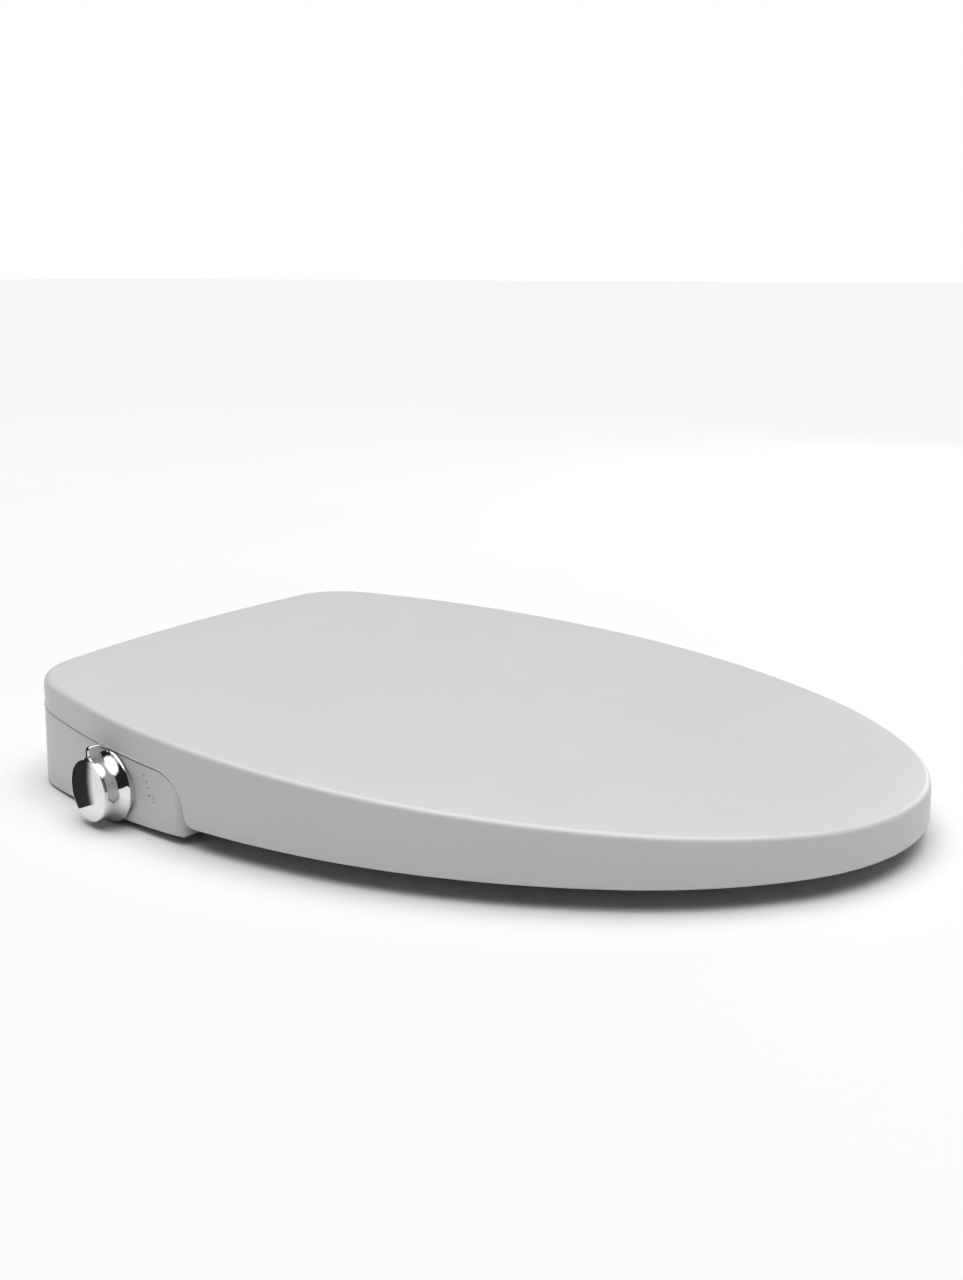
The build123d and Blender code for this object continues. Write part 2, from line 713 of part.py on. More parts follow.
def make_valve():
    with BuildPart() as valve_body:
        add(turned(KNOB_PLANE, ((STEM_R + RUNNING, -18), (VALVE_BORE, -18), (VALVE_BORE, VALVE_END),
                                (VALVE_R, VALVE_END), (VALVE_R, -9), (14.5, -9), (14.5, -5.05),
                                (9.0, -5.05), (9.0, 3.6), (STEM_R + RUNNING, 3.6))))
    save(valve_body, "valve_body")
    with BuildPart() as valve_nut:
        with BuildSketch(KNOB_PLANE.offset(-1.95)):
            RegularPolygon(13.2, 6)
            Circle(9.05, mode=Mode.SUBTRACT)
        extrude(amount=4.6)
    save(valve_nut, "valve_nut")
    with BuildPart() as valve_cap:
        add(turned(KNOB_PLANE, ((0, VALVE_END), (VALVE_R, VALVE_END), (VALVE_R, VALVE_END - 3.5),
                                (0, VALVE_END - 3.5))))
        with BuildSketch(KNOB_PLANE.offset(VALVE_END - 3.5)):
            with Locations(*PORTS):
                Circle(HOSE_BORE - 0.05)
        extrude(amount=-9)
        with BuildSketch(KNOB_PLANE.offset(VALVE_END)):
            with Locations(*PORTS):
                Circle(1.0)
        extrude(amount=-13, mode=Mode.SUBTRACT)
    save(valve_cap, "valve_cap")
    with BuildPart() as valve_disc_fixed:
        with BuildSketch(KNOB_PLANE.offset(VALVE_END + 0.1)):
            Circle(VALVE_BORE - 0.2)
            with Locations(*PORTS):
                Circle(1.6, mode=Mode.SUBTRACT)
        extrude(amount=4.4)
    save(valve_disc_fixed, "valve_disc_fixed")
    with BuildPart() as valve_disc_moving:
        with BuildSketch(KNOB_PLANE.offset(VALVE_END + 4.55)):
            Circle(VALVE_BORE - 0.4)
            with Locations((0, 5.2)):
                SlotOverall(8, 3.4, mode=Mode.SUBTRACT)
        extrude(amount=4)
    save(valve_disc_moving, "valve_disc_moving")
    with BuildPart() as valve_stem:
        add(turned(KNOB_PLANE, ((0, VALVE_END + 8.55), (VALVE_BORE - 0.4, VALVE_END + 8.55),
                                (VALVE_BORE - 0.4, -21), (STEM_R, -18.5), (STEM_R, -6), (3.0, -6),
                                (3.0, -4.4), (STEM_R, -4.4), (STEM_R, -1), (3.0, -1), (3.0, 0.6),
                                (STEM_R, 0.6), (STEM_R, STEM_TOP), (0, STEM_TOP))))
        with BuildSketch(KNOB_PLANE.offset(-0.5)):
            Circle(1.2)
        extrude(amount=STEM_TOP + 1, mode=Mode.SUBTRACT)
    save(valve_stem, "valve_stem")
    with BuildPart() as valve_orings:
        for s in (-5.2, -0.2):
            add(turned(KNOB_PLANE, ((3.0, s - 0.7), (STEM_R + 0.02, s - 0.7), (STEM_R + 0.02, s + 0.7),
                                    (3.0, s + 0.7))))
    save(valve_orings, "valve_orings")


def make_knob():
    inner = KNOB_R - KNOB_WALL
    collar = STEM_R + 0.02
    seat = STEM_TOP + 0.2
    with BuildPart() as knob:
        add(turned(KNOB_PLANE, ((inner, 0.9), (KNOB_FLARE, 0.9), (20.3, 1.7), (18.9, 3.2), (17.6, 5.2),
                                (KNOB_R, 8.0), (KNOB_R, KNOB_REACH), (0, KNOB_REACH), (0, seat),
                                (collar, seat), (collar, 4.2), (7, 4.2), (7, KNOB_CEILING),
                                (inner, KNOB_CEILING))))
        with BuildSketch(KNOB_PLANE.offset(STEM_TOP - 1)):
            Circle(1.6)
        extrude(amount=10, mode=Mode.SUBTRACT)
        with BuildSketch(KNOB_PLANE.offset(KNOB_CEILING + 0.5)):
            Circle(3.5)
        extrude(amount=10, mode=Mode.SUBTRACT)
        tab = Plane(origin=along(KNOB_PLANE, TAB_THICK / 2, 0, 0), x_dir=KNOB_OUT, z_dir=-KNOB_PLANE.x_dir)
        with BuildSketch(tab):
            with BuildLine():
                FilletPolyline((TAB_REAR, KNOB_R - 1), (TAB_REAR, TAB_TOP), (KNOB_REACH, TAB_TOP),
                               (KNOB_REACH, KNOB_R - 1), radius=(4.5, 2.5))
                Polyline((KNOB_REACH, KNOB_R - 1), (TAB_REAR, KNOB_R - 1))
            make_face()
        extrude(amount=TAB_THICK)
    save(knob, "knob")
    with BuildPart() as knob_cap:
        add(turned(KNOB_PLANE, ((0, KNOB_REACH), (KNOB_R, KNOB_REACH), (KNOB_R - 0.1, KNOB_REACH + 0.5),
                                (KNOB_R - 0.9, KNOB_REACH + 1.1), (KNOB_R - 4, KNOB_REACH + 1.7),
                                (0, KNOB_REACH + 2.1))))
    save(knob_cap, "knob_cap")
    with BuildPart() as knob_screw:
        add(turned(KNOB_PLANE, ((0, 0), (1.15, 0), (1.15, KNOB_CEILING + 0.5), (3.2, KNOB_CEILING + 0.5),
                                (3.2, KNOB_REACH - 0.4), (0, KNOB_REACH - 0.4))))
    save(knob_screw, "knob_screw")
    with BuildPart() as knob_bezel:
        add(turned(KNOB_PLANE, ((16.2, BEZEL_SEAT), (BEZEL_R, BEZEL_SEAT), (BEZEL_R, -0.3),
                                (BEZEL_R - 0.7, 0.4), (16.2, 0.4))))
    save(knob_bezel, "knob_bezel")


# --- water inlet ---


def make_inlet():
    rear = Plane(origin=(INLET_X, INLET_FACE, INLET_Z), x_dir=(1, 0, 0), z_dir=(0, 1, 0))
    reach = INLET_REACH - INLET_FACE
    with BuildPart() as inlet_connector:
        add(turned(rear, ((3.2, -22), (5.5, -22), (5.5, -11.5), (10.5, -11.5), (10.5, 0), (13.4, 0),
                          (13.4, 1.8), (INLET_R, 1.8), (INLET_R, reach), (7.5, reach), (7.5, -4),
                          (5.2, -4), (5.2, -8), (3.2, -8))))
        with Locations(Plane(origin=(INLET_X, INLET_FACE - 22, INLET_Z), z_dir=(0, -1, 0))):
            Cylinder(HOSE_BORE - 0.05, 9, align=(Align.CENTER, Align.CENTER, Align.MIN))
            Cylinder(3.4, 2, align=(Align.CENTER, Align.CENTER, Align.MIN))
            Cylinder(1.0, 9, align=(Align.CENTER, Align.CENTER, Align.MIN), mode=Mode.SUBTRACT)
    save(inlet_connector, "inlet_connector")
    with BuildPart() as inlet_nut:
        with BuildSketch(rear.offset(-10.6)):
            RegularPolygon(13.6, 6)
            Circle(10.52, mode=Mode.SUBTRACT)
        extrude(amount=3.0)
    save(inlet_nut, "inlet_nut")
    with BuildPart() as inlet_filter:
        add(turned(rear, ((5.6, -3.9), (7.3, -3.9), (7.3, -2.4), (6.4, -2.4), (6.4, 6), (0, 6), (0, 5),
                          (5.6, 5))))
    save(inlet_filter, "inlet_filter")
    with BuildPart() as check_valve:
        add(turned(rear, ((0.9, -7.8), (5.1, -7.8), (5.1, -4.2), (2.4, -4.2), (2.4, -6.4), (0.9, -6.4))))
    save(check_valve, "check_valve")


# --- nozzles ---


def make_nozzle(name, side):
    axis = Plane(origin=along(NOZZLE_PLANE, side * NOZZLE_X, 0, 0), x_dir=(1, 0, 0),
                 z_dir=NOZZLE_BACK)
    head = GUIDE_BORE - 0.06
    with BuildPart() as nozzle:
        add(turned(axis, ((2.4, 10), (NOZZLE_R, 10), (NOZZLE_R, 55), (head, 55), (head, 56.8), (5, 56.8),
                          (5, 58.2), (head, 58.2), (head, NOZZLE_LENGTH), (2.4, NOZZLE_LENGTH))))
    save(nozzle, f"nozzle_{name}")
    with BuildPart() as tip:
        add(turned(axis, ((0, 0), (2.6, 0.0), (3.8, 0.7), (NOZZLE_R, 2.2), (NOZZLE_R, 9.95), (2.35, 9.95),
                          (2.35, 16), (1.4, 16), (1.4, 6), (0, 6))))
        with BuildSketch(Plane(origin=along(axis, 0, 0, 5), x_dir=(1, 0, 0),
                               z_dir=(0, -sin(NOZZLE_TILT), cos(NOZZLE_TILT)))):
            for k in (-1, 0, 1):
                with Locations((k * 1.5, 0)):
                    Circle(0.45)
        extrude(amount=8, mode=Mode.SUBTRACT)
    save(tip, f"nozzle_tip_{name}")
    with BuildPart() as seal:
        add(turned(axis, ((5, 56.85), (GUIDE_BORE - 0.03, 56.85), (GUIDE_BORE - 0.03, 58.15),
                          (5, 58.15))))
    save(seal, f"nozzle_seal_{name}")
    spring(f"nozzle_spring_{name}", axis, 5.2, 0.5, BUSH_END + 0.8, 54.2, 8)


def make_nozzle_guide():
    with BuildPart() as nozzle_guide:
        with BuildSketch(NOZZLE_PLANE.offset(GUIDE_START)):
            with GridLocations(2 * NOZZLE_X, 0, 2, 1):
                Circle(GUIDE_R)
            Rectangle(2 * NOZZLE_X, 2 * GUIDE_R)
        extrude(amount=GUIDE_END - GUIDE_START)
        with BuildSketch(NOZZLE_PLANE.offset(GUIDE_START - 1)):
            with GridLocations(2 * NOZZLE_X, 0, 2, 1):
                Circle(NOZZLE_R + 0.08)
        extrude(amount=GUIDE_END, mode=Mode.SUBTRACT)
        with BuildSketch(NOZZLE_PLANE.offset(BUSH_END)):
            with GridLocations(2 * NOZZLE_X, 0, 2, 1):
                Circle(GUIDE_BORE)
        extrude(amount=GUIDE_END, mode=Mode.SUBTRACT)
        foot_y = along(NOZZLE_PLANE, 0, 0, 40).Y
        foot_top = along(NOZZLE_PLANE, 0, 0, 40).Z - GUIDE_R - 0.2
        with Locations((0, foot_y, (TRAY_FLOOR + foot_top) / 2)):
            Box(6, 8, foot_top - TRAY_FLOOR + 2)
        with Locations((0, foot_y, TRAY_FLOOR + 1.25)):
            Box(34, 12, 2.5)
        add(box_between((-20, foot_y - 10, -5), (20, foot_y + 10, TRAY_FLOOR)), mode=Mode.SUBTRACT)
    save(nozzle_guide, "nozzle_guide")
    with BuildPart() as guide_cap:
        with BuildSketch(NOZZLE_PLANE.offset(GUIDE_END)):
            with GridLocations(2 * NOZZLE_X, 0, 2, 1):
                Circle(GUIDE_R)
            Rectangle(2 * NOZZLE_X, 2 * GUIDE_R)
        extrude(amount=7)
        with BuildSketch(NOZZLE_PLANE.offset(GUIDE_END - 0.5)):
            with GridLocations(2 * NOZZLE_X, 0, 2, 1):
                Circle(4)
        extrude(amount=4.5, mode=Mode.SUBTRACT)
        port = along(NOZZLE_PLANE, 0, 0, GUIDE_END + 3.5)
        add(x_rod(HOSE_BORE - 0.05, -(GUIDE_R + NOZZLE_X + 8), -(NOZZLE_X + 3), port.Y, port.Z))
        add(x_rod(HOSE_BORE - 0.05, NOZZLE_X + 3, GUIDE_R + NOZZLE_X + 8, port.Y, port.Z))
        add(x_rod(1.0, -40, -NOZZLE_X, port.Y, port.Z), mode=Mode.SUBTRACT)
        add(x_rod(1.0, NOZZLE_X, 40, port.Y, port.Z), mode=Mode.SUBTRACT)
    save(guide_cap, "guide_cap")


# --- nozzle gate ---


def make_gate():
    with BuildPart() as nozzle_gate:
        with BuildSketch(Plane.YZ.offset(-GATE_X)):
            with Locations((GATE_Y, GATE_Z)):
                Circle(2.4)
            with BuildLine():
                FilletPolyline((GATE_Y - 2.4, GATE_Z), (GATE_Y - 2.4, GATE_Z - 7),
                               (GATE_Y - 1.2, GATE_Z - 14.2), radius=6)
                Polyline((GATE_Y - 1.2, GATE_Z - 14.2), (GATE_Y + 0.6, GATE_Z - 14.2),
                         (GATE_Y - 0.4, GATE_Z - 7), (GATE_Y - 0.4, GATE_Z), (GATE_Y - 2.4, GATE_Z))
            make_face()
        extrude(amount=2 * GATE_X)
        add(x_rod(GATE_PIN_R + RUNNING, -GATE_X - 1, GATE_X + 1, GATE_Y, GATE_Z), mode=Mode.SUBTRACT)
    save(nozzle_gate, "nozzle_gate")
    with BuildPart() as gate_pin:
        add(x_rod(GATE_PIN_R, -GATE_X - 4, GATE_X + 4, GATE_Y, GATE_Z))
    save(gate_pin, "gate_pin")
    with BuildPart() as gate_brackets:
        for side in SIDES:
            x0 = min(side * (GATE_X + 0.6), side * (GATE_X + 3.6))
            with BuildSketch(Plane.YZ.offset(x0)):
                with Locations((GATE_Y, GATE_Z)):
                    Circle(2.8)
                with BuildLine():
                    Polyline((GATE_Y, GATE_Z - 2.8), (GATE_Y + 5.5, GATE_Z - 5), (GATE_Y + 5.5, GATE_Z + 5),
                             (GATE_Y, GATE_Z + 2.8), close=True)
                make_face()
                with Locations((GATE_Y, GATE_Z)):
                    Circle(GATE_PIN_R, mode=Mode.SUBTRACT)
            extrude(amount=3)
        add(behind_bowl_wall(), mode=Mode.SUBTRACT)
    save(gate_brackets, "gate_brackets")


def behind_bowl_wall():
    """Everything behind the housing's front wall, seen from the bowl."""
    with BuildPart() as ring:
        add(box_between((-60, -140, 0), (60, -60, 60)))
        add(oval_column(BOWL_A, BOWL_B), mode=Mode.SUBTRACT)
    return ring.part


# --- hoses ---


def hose(name, points, radii):
    """A flexible tube along straight runs joined by tangent arcs."""
    with BuildPart() as tube:
        with BuildLine() as path:
            FilletPolyline(*points, radius=radii)
        with BuildSketch(Plane(origin=path.line @ 0, z_dir=path.line % 0)):
            Circle(HOSE_R)
            Circle(HOSE_BORE, mode=Mode.SUBTRACT)
        sweep()
    save(tube, name)


def port_run(index, distances):
    """Points straight out from one of the valve's ports."""
    x, y = PORTS[index]
    return [along(KNOB_PLANE, x, y, VALVE_END - 3.5 - d) for d in distances]


def make_hoses():
    inlet = Vector(INLET_X, INLET_FACE - 24, INLET_Z)
    cap = along(NOZZLE_PLANE, 0, 0, GUIDE_END + 3.5)
    edge = GUIDE_R + NOZZLE_X
    hose("hose_inlet", port_run(0, (0.3, 22)) + [Vector(-78, -62, 22), Vector(INLET_X, -30, INLET_Z),
         inlet - Vector(0, 0.3, 0)], (16, 30, 30))
    hose("hose_rear_wash", port_run(1, (0.3, 26)) + [Vector(-62, cap.Y - 14, 32),
         Vector(-40, cap.Y, cap.Z), Vector(-edge - 0.3, cap.Y, cap.Z)], (14, 16, 12))
    hose("hose_front_wash", port_run(2, (0.3, 30)) + [Vector(-66, -46, 15), Vector(-24, -14, 24),
         Vector(36, -12, 28), Vector(40, cap.Y, cap.Z), Vector(edge + 0.3, cap.Y, cap.Z)],
         (14, 22, 18, 9, 8))


make_lid_shell()
bushes("lid_bushes", LID_EAR, -1)
bushes("seat_bushes", SEAT_EAR, 1)
damper_shaft("lid_damper_shaft", -1, POST[1] - 22, LID_EAR[1] - 0.5, LID_EAR)
damper_shaft("seat_damper_shaft", 1, POST[0] + 22, SEAT_EAR[0] + 0.5, SEAT_EAR)
pads_on_plane("lid_bumpers", ((-110, -350), (110, -350), (-150, -130), (150, -130)), 8, LID_TOP, 2.5)
make_seat_ring()
make_seat_underside()
make_seat_bumpers()
make_rear_cover()
make_base_tray()
make_base_pads()
make_casing_screws()
hinge_block("hinge_block_left", -1, (POST[1] + 1, POST[1] - BARREL_LENGTH), (POST[0] - 1, POST[0] + 6))
hinge_block("hinge_block_right", 1, (POST[0] - 1, POST[0] + BARREL_LENGTH), (POST[1] - 6, POST[1] + 1))
damper_body("lid_damper_body", -1, POST[1], POST[1] - BARREL_LENGTH)
damper_body("seat_damper_body", 1, POST[0], POST[0] + BARREL_LENGTH)
make_hinge_pins()
make_mounting_plate()
make_bolt_adjusters()
make_release_button()
make_latch_holder()
make_latch_bar()
spring("release_spring", BUTTON_PLANE, 4.2, 0.45, -19.3, -8.6, 5)
make_valve()
make_knob()
make_inlet()
make_nozzle("rear", -1)
make_nozzle("front", 1)
make_nozzle_guide()
make_gate()
make_hoses()
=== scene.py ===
# %% [markdown]
# # A slim bidet seat, finished in Blender
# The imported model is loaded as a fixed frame. Its nodes keep their place and their size. What is added here
# are the finishes, the light, and finer skins for the pieces that are seen most: the lid, the housing's
# cover, the seat ring and the chrome knob. Each skin stands where its node stands and rides on its body.

# %% Load the frame
import json
from math import radians, tan

import bmesh
import bpy
import numpy as np
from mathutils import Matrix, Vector
from mathutils.bvhtree import BVHTree


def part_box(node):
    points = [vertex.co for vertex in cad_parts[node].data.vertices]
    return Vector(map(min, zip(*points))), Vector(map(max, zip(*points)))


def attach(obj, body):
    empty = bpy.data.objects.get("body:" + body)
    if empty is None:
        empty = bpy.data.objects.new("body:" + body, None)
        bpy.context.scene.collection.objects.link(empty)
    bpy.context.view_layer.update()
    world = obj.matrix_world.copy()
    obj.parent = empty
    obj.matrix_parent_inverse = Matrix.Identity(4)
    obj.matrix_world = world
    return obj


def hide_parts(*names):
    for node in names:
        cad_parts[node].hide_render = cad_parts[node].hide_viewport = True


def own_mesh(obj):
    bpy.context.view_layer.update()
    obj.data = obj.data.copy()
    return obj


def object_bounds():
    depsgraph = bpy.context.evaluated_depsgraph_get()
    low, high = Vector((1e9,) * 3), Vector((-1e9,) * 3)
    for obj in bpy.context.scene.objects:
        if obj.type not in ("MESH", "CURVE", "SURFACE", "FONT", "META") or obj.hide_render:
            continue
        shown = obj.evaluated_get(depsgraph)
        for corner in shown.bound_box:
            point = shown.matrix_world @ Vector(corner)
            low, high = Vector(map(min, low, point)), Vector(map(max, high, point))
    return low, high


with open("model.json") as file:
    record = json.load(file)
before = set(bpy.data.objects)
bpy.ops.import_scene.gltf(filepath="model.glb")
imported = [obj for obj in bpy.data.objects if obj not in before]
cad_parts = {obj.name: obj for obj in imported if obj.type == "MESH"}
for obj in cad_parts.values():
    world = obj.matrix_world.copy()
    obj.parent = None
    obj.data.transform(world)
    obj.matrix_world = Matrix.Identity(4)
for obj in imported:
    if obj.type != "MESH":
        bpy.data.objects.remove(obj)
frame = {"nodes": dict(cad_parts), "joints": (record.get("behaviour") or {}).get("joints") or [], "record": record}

CAD_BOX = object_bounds()
MM = 0.001
print("CAD box in mm", [[round(c / MM, 1) for c in corner] for corner in CAD_BOX])

# %% [markdown]
# The camera comes first, because it decides what shows. It stands low and to the left of the seat's tip, as
# someone would who crouches beside the bowl. Its place is measured from the tip of the lid, so it moves with
# the tip if the seat is made longer or shorter.

# %% Camera
TIP_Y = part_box("lid_shell")[0][1]
CAMERA_FROM_TIP = Vector((-0.75216, -0.20511, 0.29434))
CAMERA_AZIMUTH = radians(-58.127)
CAMERA_ELEVATION = radians(13.472)
CAMERA_LENS = 43.765


def camera_back():
    """The direction from the object to the camera: azimuth turns about Z, elevation lifts it."""
    flat = np.cos(CAMERA_ELEVATION)
    return Vector((np.sin(CAMERA_AZIMUTH) * flat, -np.cos(CAMERA_AZIMUTH) * flat, np.sin(CAMERA_ELEVATION)))


def make_camera():
    """The studio camera, pointed along its own viewing direction."""
    data = bpy.data.cameras.new("studio_camera")
    data.lens = CAMERA_LENS
    data.sensor_width = 36.0
    camera = bpy.data.objects.new("studio_camera", data)
    camera.location = CAMERA_FROM_TIP + Vector((0.0, TIP_Y, 0.0))
    camera.rotation_euler = camera_back().to_track_quat("Z", "Y").to_euler()
    bpy.context.scene.collection.objects.link(camera)
    bpy.context.scene.camera = camera
    return camera


camera = make_camera()
print("camera at", [round(c, 4) for c in camera.location])

# %% [markdown]
# ## Helpers
# A skin is a grid of points: one column for each place along an outline, one row for each step across its
# cross-section. The grid is turned into a mesh in one go, and its poles and seams are closed by merging the
# points that fall together.

# %% Grid to mesh
MERGE = 2e-6


def shade(mesh, sharp_degrees=32.0):
    """Smooth shading, except over edges where two faces meet at more than sharp_degrees."""
    work = bmesh.new()
    work.from_mesh(mesh)
    bmesh.ops.remove_doubles(work, verts=work.verts, dist=MERGE)
    bmesh.ops.dissolve_degenerate(work, edges=work.edges, dist=MERGE)
    bmesh.ops.recalc_face_normals(work, faces=work.faces)
    limit = radians(sharp_degrees)
    for edge in work.edges:
        edge.smooth = len(edge.link_faces) == 2 and edge.calc_face_angle(0.0) < limit
    for face in work.faces:
        face.smooth = True
    work.to_mesh(mesh)
    work.free()


def grid_piece(name, points, wrap_columns=True, wrap_rows=False):
    """A mesh from points[column, row, xyz]. Columns close round the outline when wrap_columns is true."""
    columns, rows = points.shape[:2]
    i = np.arange(columns if wrap_columns else columns - 1)[:, None]
    j = np.arange(rows if wrap_rows else rows - 1)[None, :]
    i2, j2 = (i + 1) % columns, (j + 1) % rows
    quads = np.stack([i * rows + j, i2 * rows + j, i2 * rows + j2, i * rows + j2], axis=-1).reshape(-1, 4)
    mesh = bpy.data.meshes.new(name)
    mesh.from_pydata(points.reshape(-1, 3).tolist(), [], quads.tolist())
    shade(mesh)
    piece = bpy.data.objects.new(name, mesh)
    bpy.context.scene.collection.objects.link(piece)
    print(name, len(mesh.vertices), "points", len(mesh.polygons), "faces")
    return piece


# %% [markdown]
# ## The outline
# Lid, seat and housing share one plan outline. Half of it is six arcs, each tangent to the last, from the
# tip round to the middle of the rear. On such an outline the heading alone says where a point is, and a
# smaller copy of it keeps the same centres with every radius reduced by the inset.

# %% Plan outline
ARCS = ((131.0, 38.25), (230.0, 23.75), (385.0, 25.45), (470.0, 24.1), (49.5, 62.7))
TOP_SLOPE = tan(radians(3.95))
TOP_AT_ORIGIN = 63.9


def arc_table():
    """Rows of centre x, centre y, radius, first heading, last heading and first length, in mm and radians."""
    rows, heading, length, point = [], 0.0, 0.0, np.array([0.0, TIP_Y / MM])
    turned = sum(turn for _, turn in ARCS)
    for radius, turn in ARCS + ((None, 180.0 - turned),):
        if radius is None:
            radius = point[0] / np.sin(heading)
        centre = point + radius * np.array([-np.sin(heading), np.cos(heading)])
        end = heading + radians(turn)
        rows.append((centre[0], centre[1], radius, heading, end, length))
        point = centre + radius * np.array([np.sin(end), -np.cos(end)])
        length += radius * (end - heading)
        heading = end
    return np.array(rows), length


ARC_ROWS, HALF_LENGTH = arc_table()


def plan(s, inset):
    """Plan x and y in mm at length s along the right half, drawn in by inset along the inward normal."""
    row = ARC_ROWS[np.clip(np.searchsorted(ARC_ROWS[:, 5], s, side="right") - 1, 0, len(ARC_ROWS) - 1)]
    heading = row[..., 3] + (s - row[..., 5]) / row[..., 2]
    radius = row[..., 2] - inset
    return row[..., 0] + radius * np.sin(heading), row[..., 1] - radius * np.cos(heading)


def length_at(value, axis):
    """The length along the right half where x (axis 0) or y (axis 1) reaches a value, in mm."""
    s = np.linspace(0.0, HALF_LENGTH, 6000)
    x, y = plan(s, 0.0)
    if axis == 1:
        return np.interp(value, y, s)
    rear = s > HALF_LENGTH * 0.6
    return np.interp(value, x[rear][::-1], s[rear][::-1])


def top_z(y, drop=0.0):
    """Height in mm of the plane that lies drop below the lid's sloping top."""
    return TOP_AT_ORIGIN - drop + y * TOP_SLOPE


WIDEST = plan(np.linspace(0, HALF_LENGTH, 900), 0)[0].max()
print("half outline", round(HALF_LENGTH, 1), "mm long, lid", round(2 * WIDEST, 1), "mm wide")

# %% [markdown]
# ## The lid
# The real lid is one thin injection moulding: a flat top, an edge rounded by a few millimetres, and a skirt
# that leans out slightly so that it leaves its mould. The skirt is deep round the front. Beside the housing
# it is cut away in one sweep, down a quarter circle and out again over a small flare, and behind it has two
# windows for the hinge. Here each column carries its own foot height, so one closed grid makes all of it.

# %% Lid foot line
LID_FOOT = 11.0
SKIRT_DEPTH = 18.0
ZONE_FRONT = -137.0
ZONE_R = 22.0
FLARE_R = 6.5
CORNER_LEAN = 0.15
NOTCH = (44.0, 90.5)
NOTCH_DROP = 3.6


def sweep_arc(centre, radius, start, end, steps):
    """Points (y, z) on an arc from one angle to another, in degrees."""
    angle = np.radians(np.linspace(start, end, steps))
    return centre[0] + radius * np.cos(angle), centre[1] + radius * np.sin(angle)


def lid_foot_line():
    """Length along the right half and foot height, both in mm, from the tip round to the rear's middle."""
    slope_angle = np.degrees(np.arctan(TOP_SLOPE))
    corner_y = ZONE_FRONT + ZONE_R
    corner_z = top_z(corner_y, SKIRT_DEPTH) - ZONE_R * (1 / np.cos(np.radians(slope_angle)))
    flare = sweep_arc((ZONE_FRONT - FLARE_R, LID_FOOT + FLARE_R), FLARE_R, -90, 0, 9)
    corner = sweep_arc((corner_y, corner_z), ZONE_R, 180, 90 + slope_angle, 15)
    side_y = np.concatenate([flare[0], corner[0] + CORNER_LEAN])
    side_z = np.concatenate([flare[1], corner[1]])
    front_s = np.linspace(0.0, length_at(side_y[0], 1), 150)[:-1]
    side_s = length_at(side_y, 1)
    side_s = side_s + np.linspace(0, 1e-3, len(side_s))
    deep_s = np.linspace(side_s[-1], length_at(NOTCH[1] + 0.2, 0), 64)[1:]
    notch_s = np.linspace(length_at(NOTCH[1], 0), length_at(NOTCH[0], 0), 14)
    rear_s = np.linspace(length_at(NOTCH[0] - 0.2, 0), HALF_LENGTH, 12)
    s = np.concatenate([front_s, side_s, deep_s, notch_s, rear_s])
    z = np.concatenate([
        np.full(len(front_s), LID_FOOT), side_z, top_z(plan(deep_s, 0)[1], SKIRT_DEPTH),
        top_z(plan(notch_s, 0)[1], NOTCH_DROP), top_z(plan(rear_s, 0)[1], SKIRT_DEPTH)])
    return s, z


def both_sides(s, *values):
    """Columns for the whole loop: the right half, then its mirror image back to the tip."""
    side = np.concatenate([np.ones(len(s)), -np.ones(len(s) - 2)])
    index = np.concatenate([np.arange(len(s)), np.arange(len(s) - 2, 0, -1)])
    return (side, s[index]) + tuple(v[index] for v in values)


# %% [markdown]
# The cross-section goes once round the plate: along the top, over the edge, down the skirt, round its foot
# and back along the inside. The edge is rounder at the rear than at the tip, so it grows along the lid.

# %% Lid cross-section
LID_WALL = 3.0
LID_TOP = 3.2
LID_DRAFT = 0.6
LID_EDGE = (3.2, 5.5)
EDGE_GROWS = (-70.0, 5.0)
DRAFT_HEIGHT = 35.0
FOOT_ROUND = 0.9
INNER_ROUND = 2.4


def smooth(x, a, b):
    """0 below a, 1 above b, and a smooth cubic between."""
    t = np.clip((x - a) / (b - a), 0.0, 1.0)
    return t * t * (3 - 2 * t)


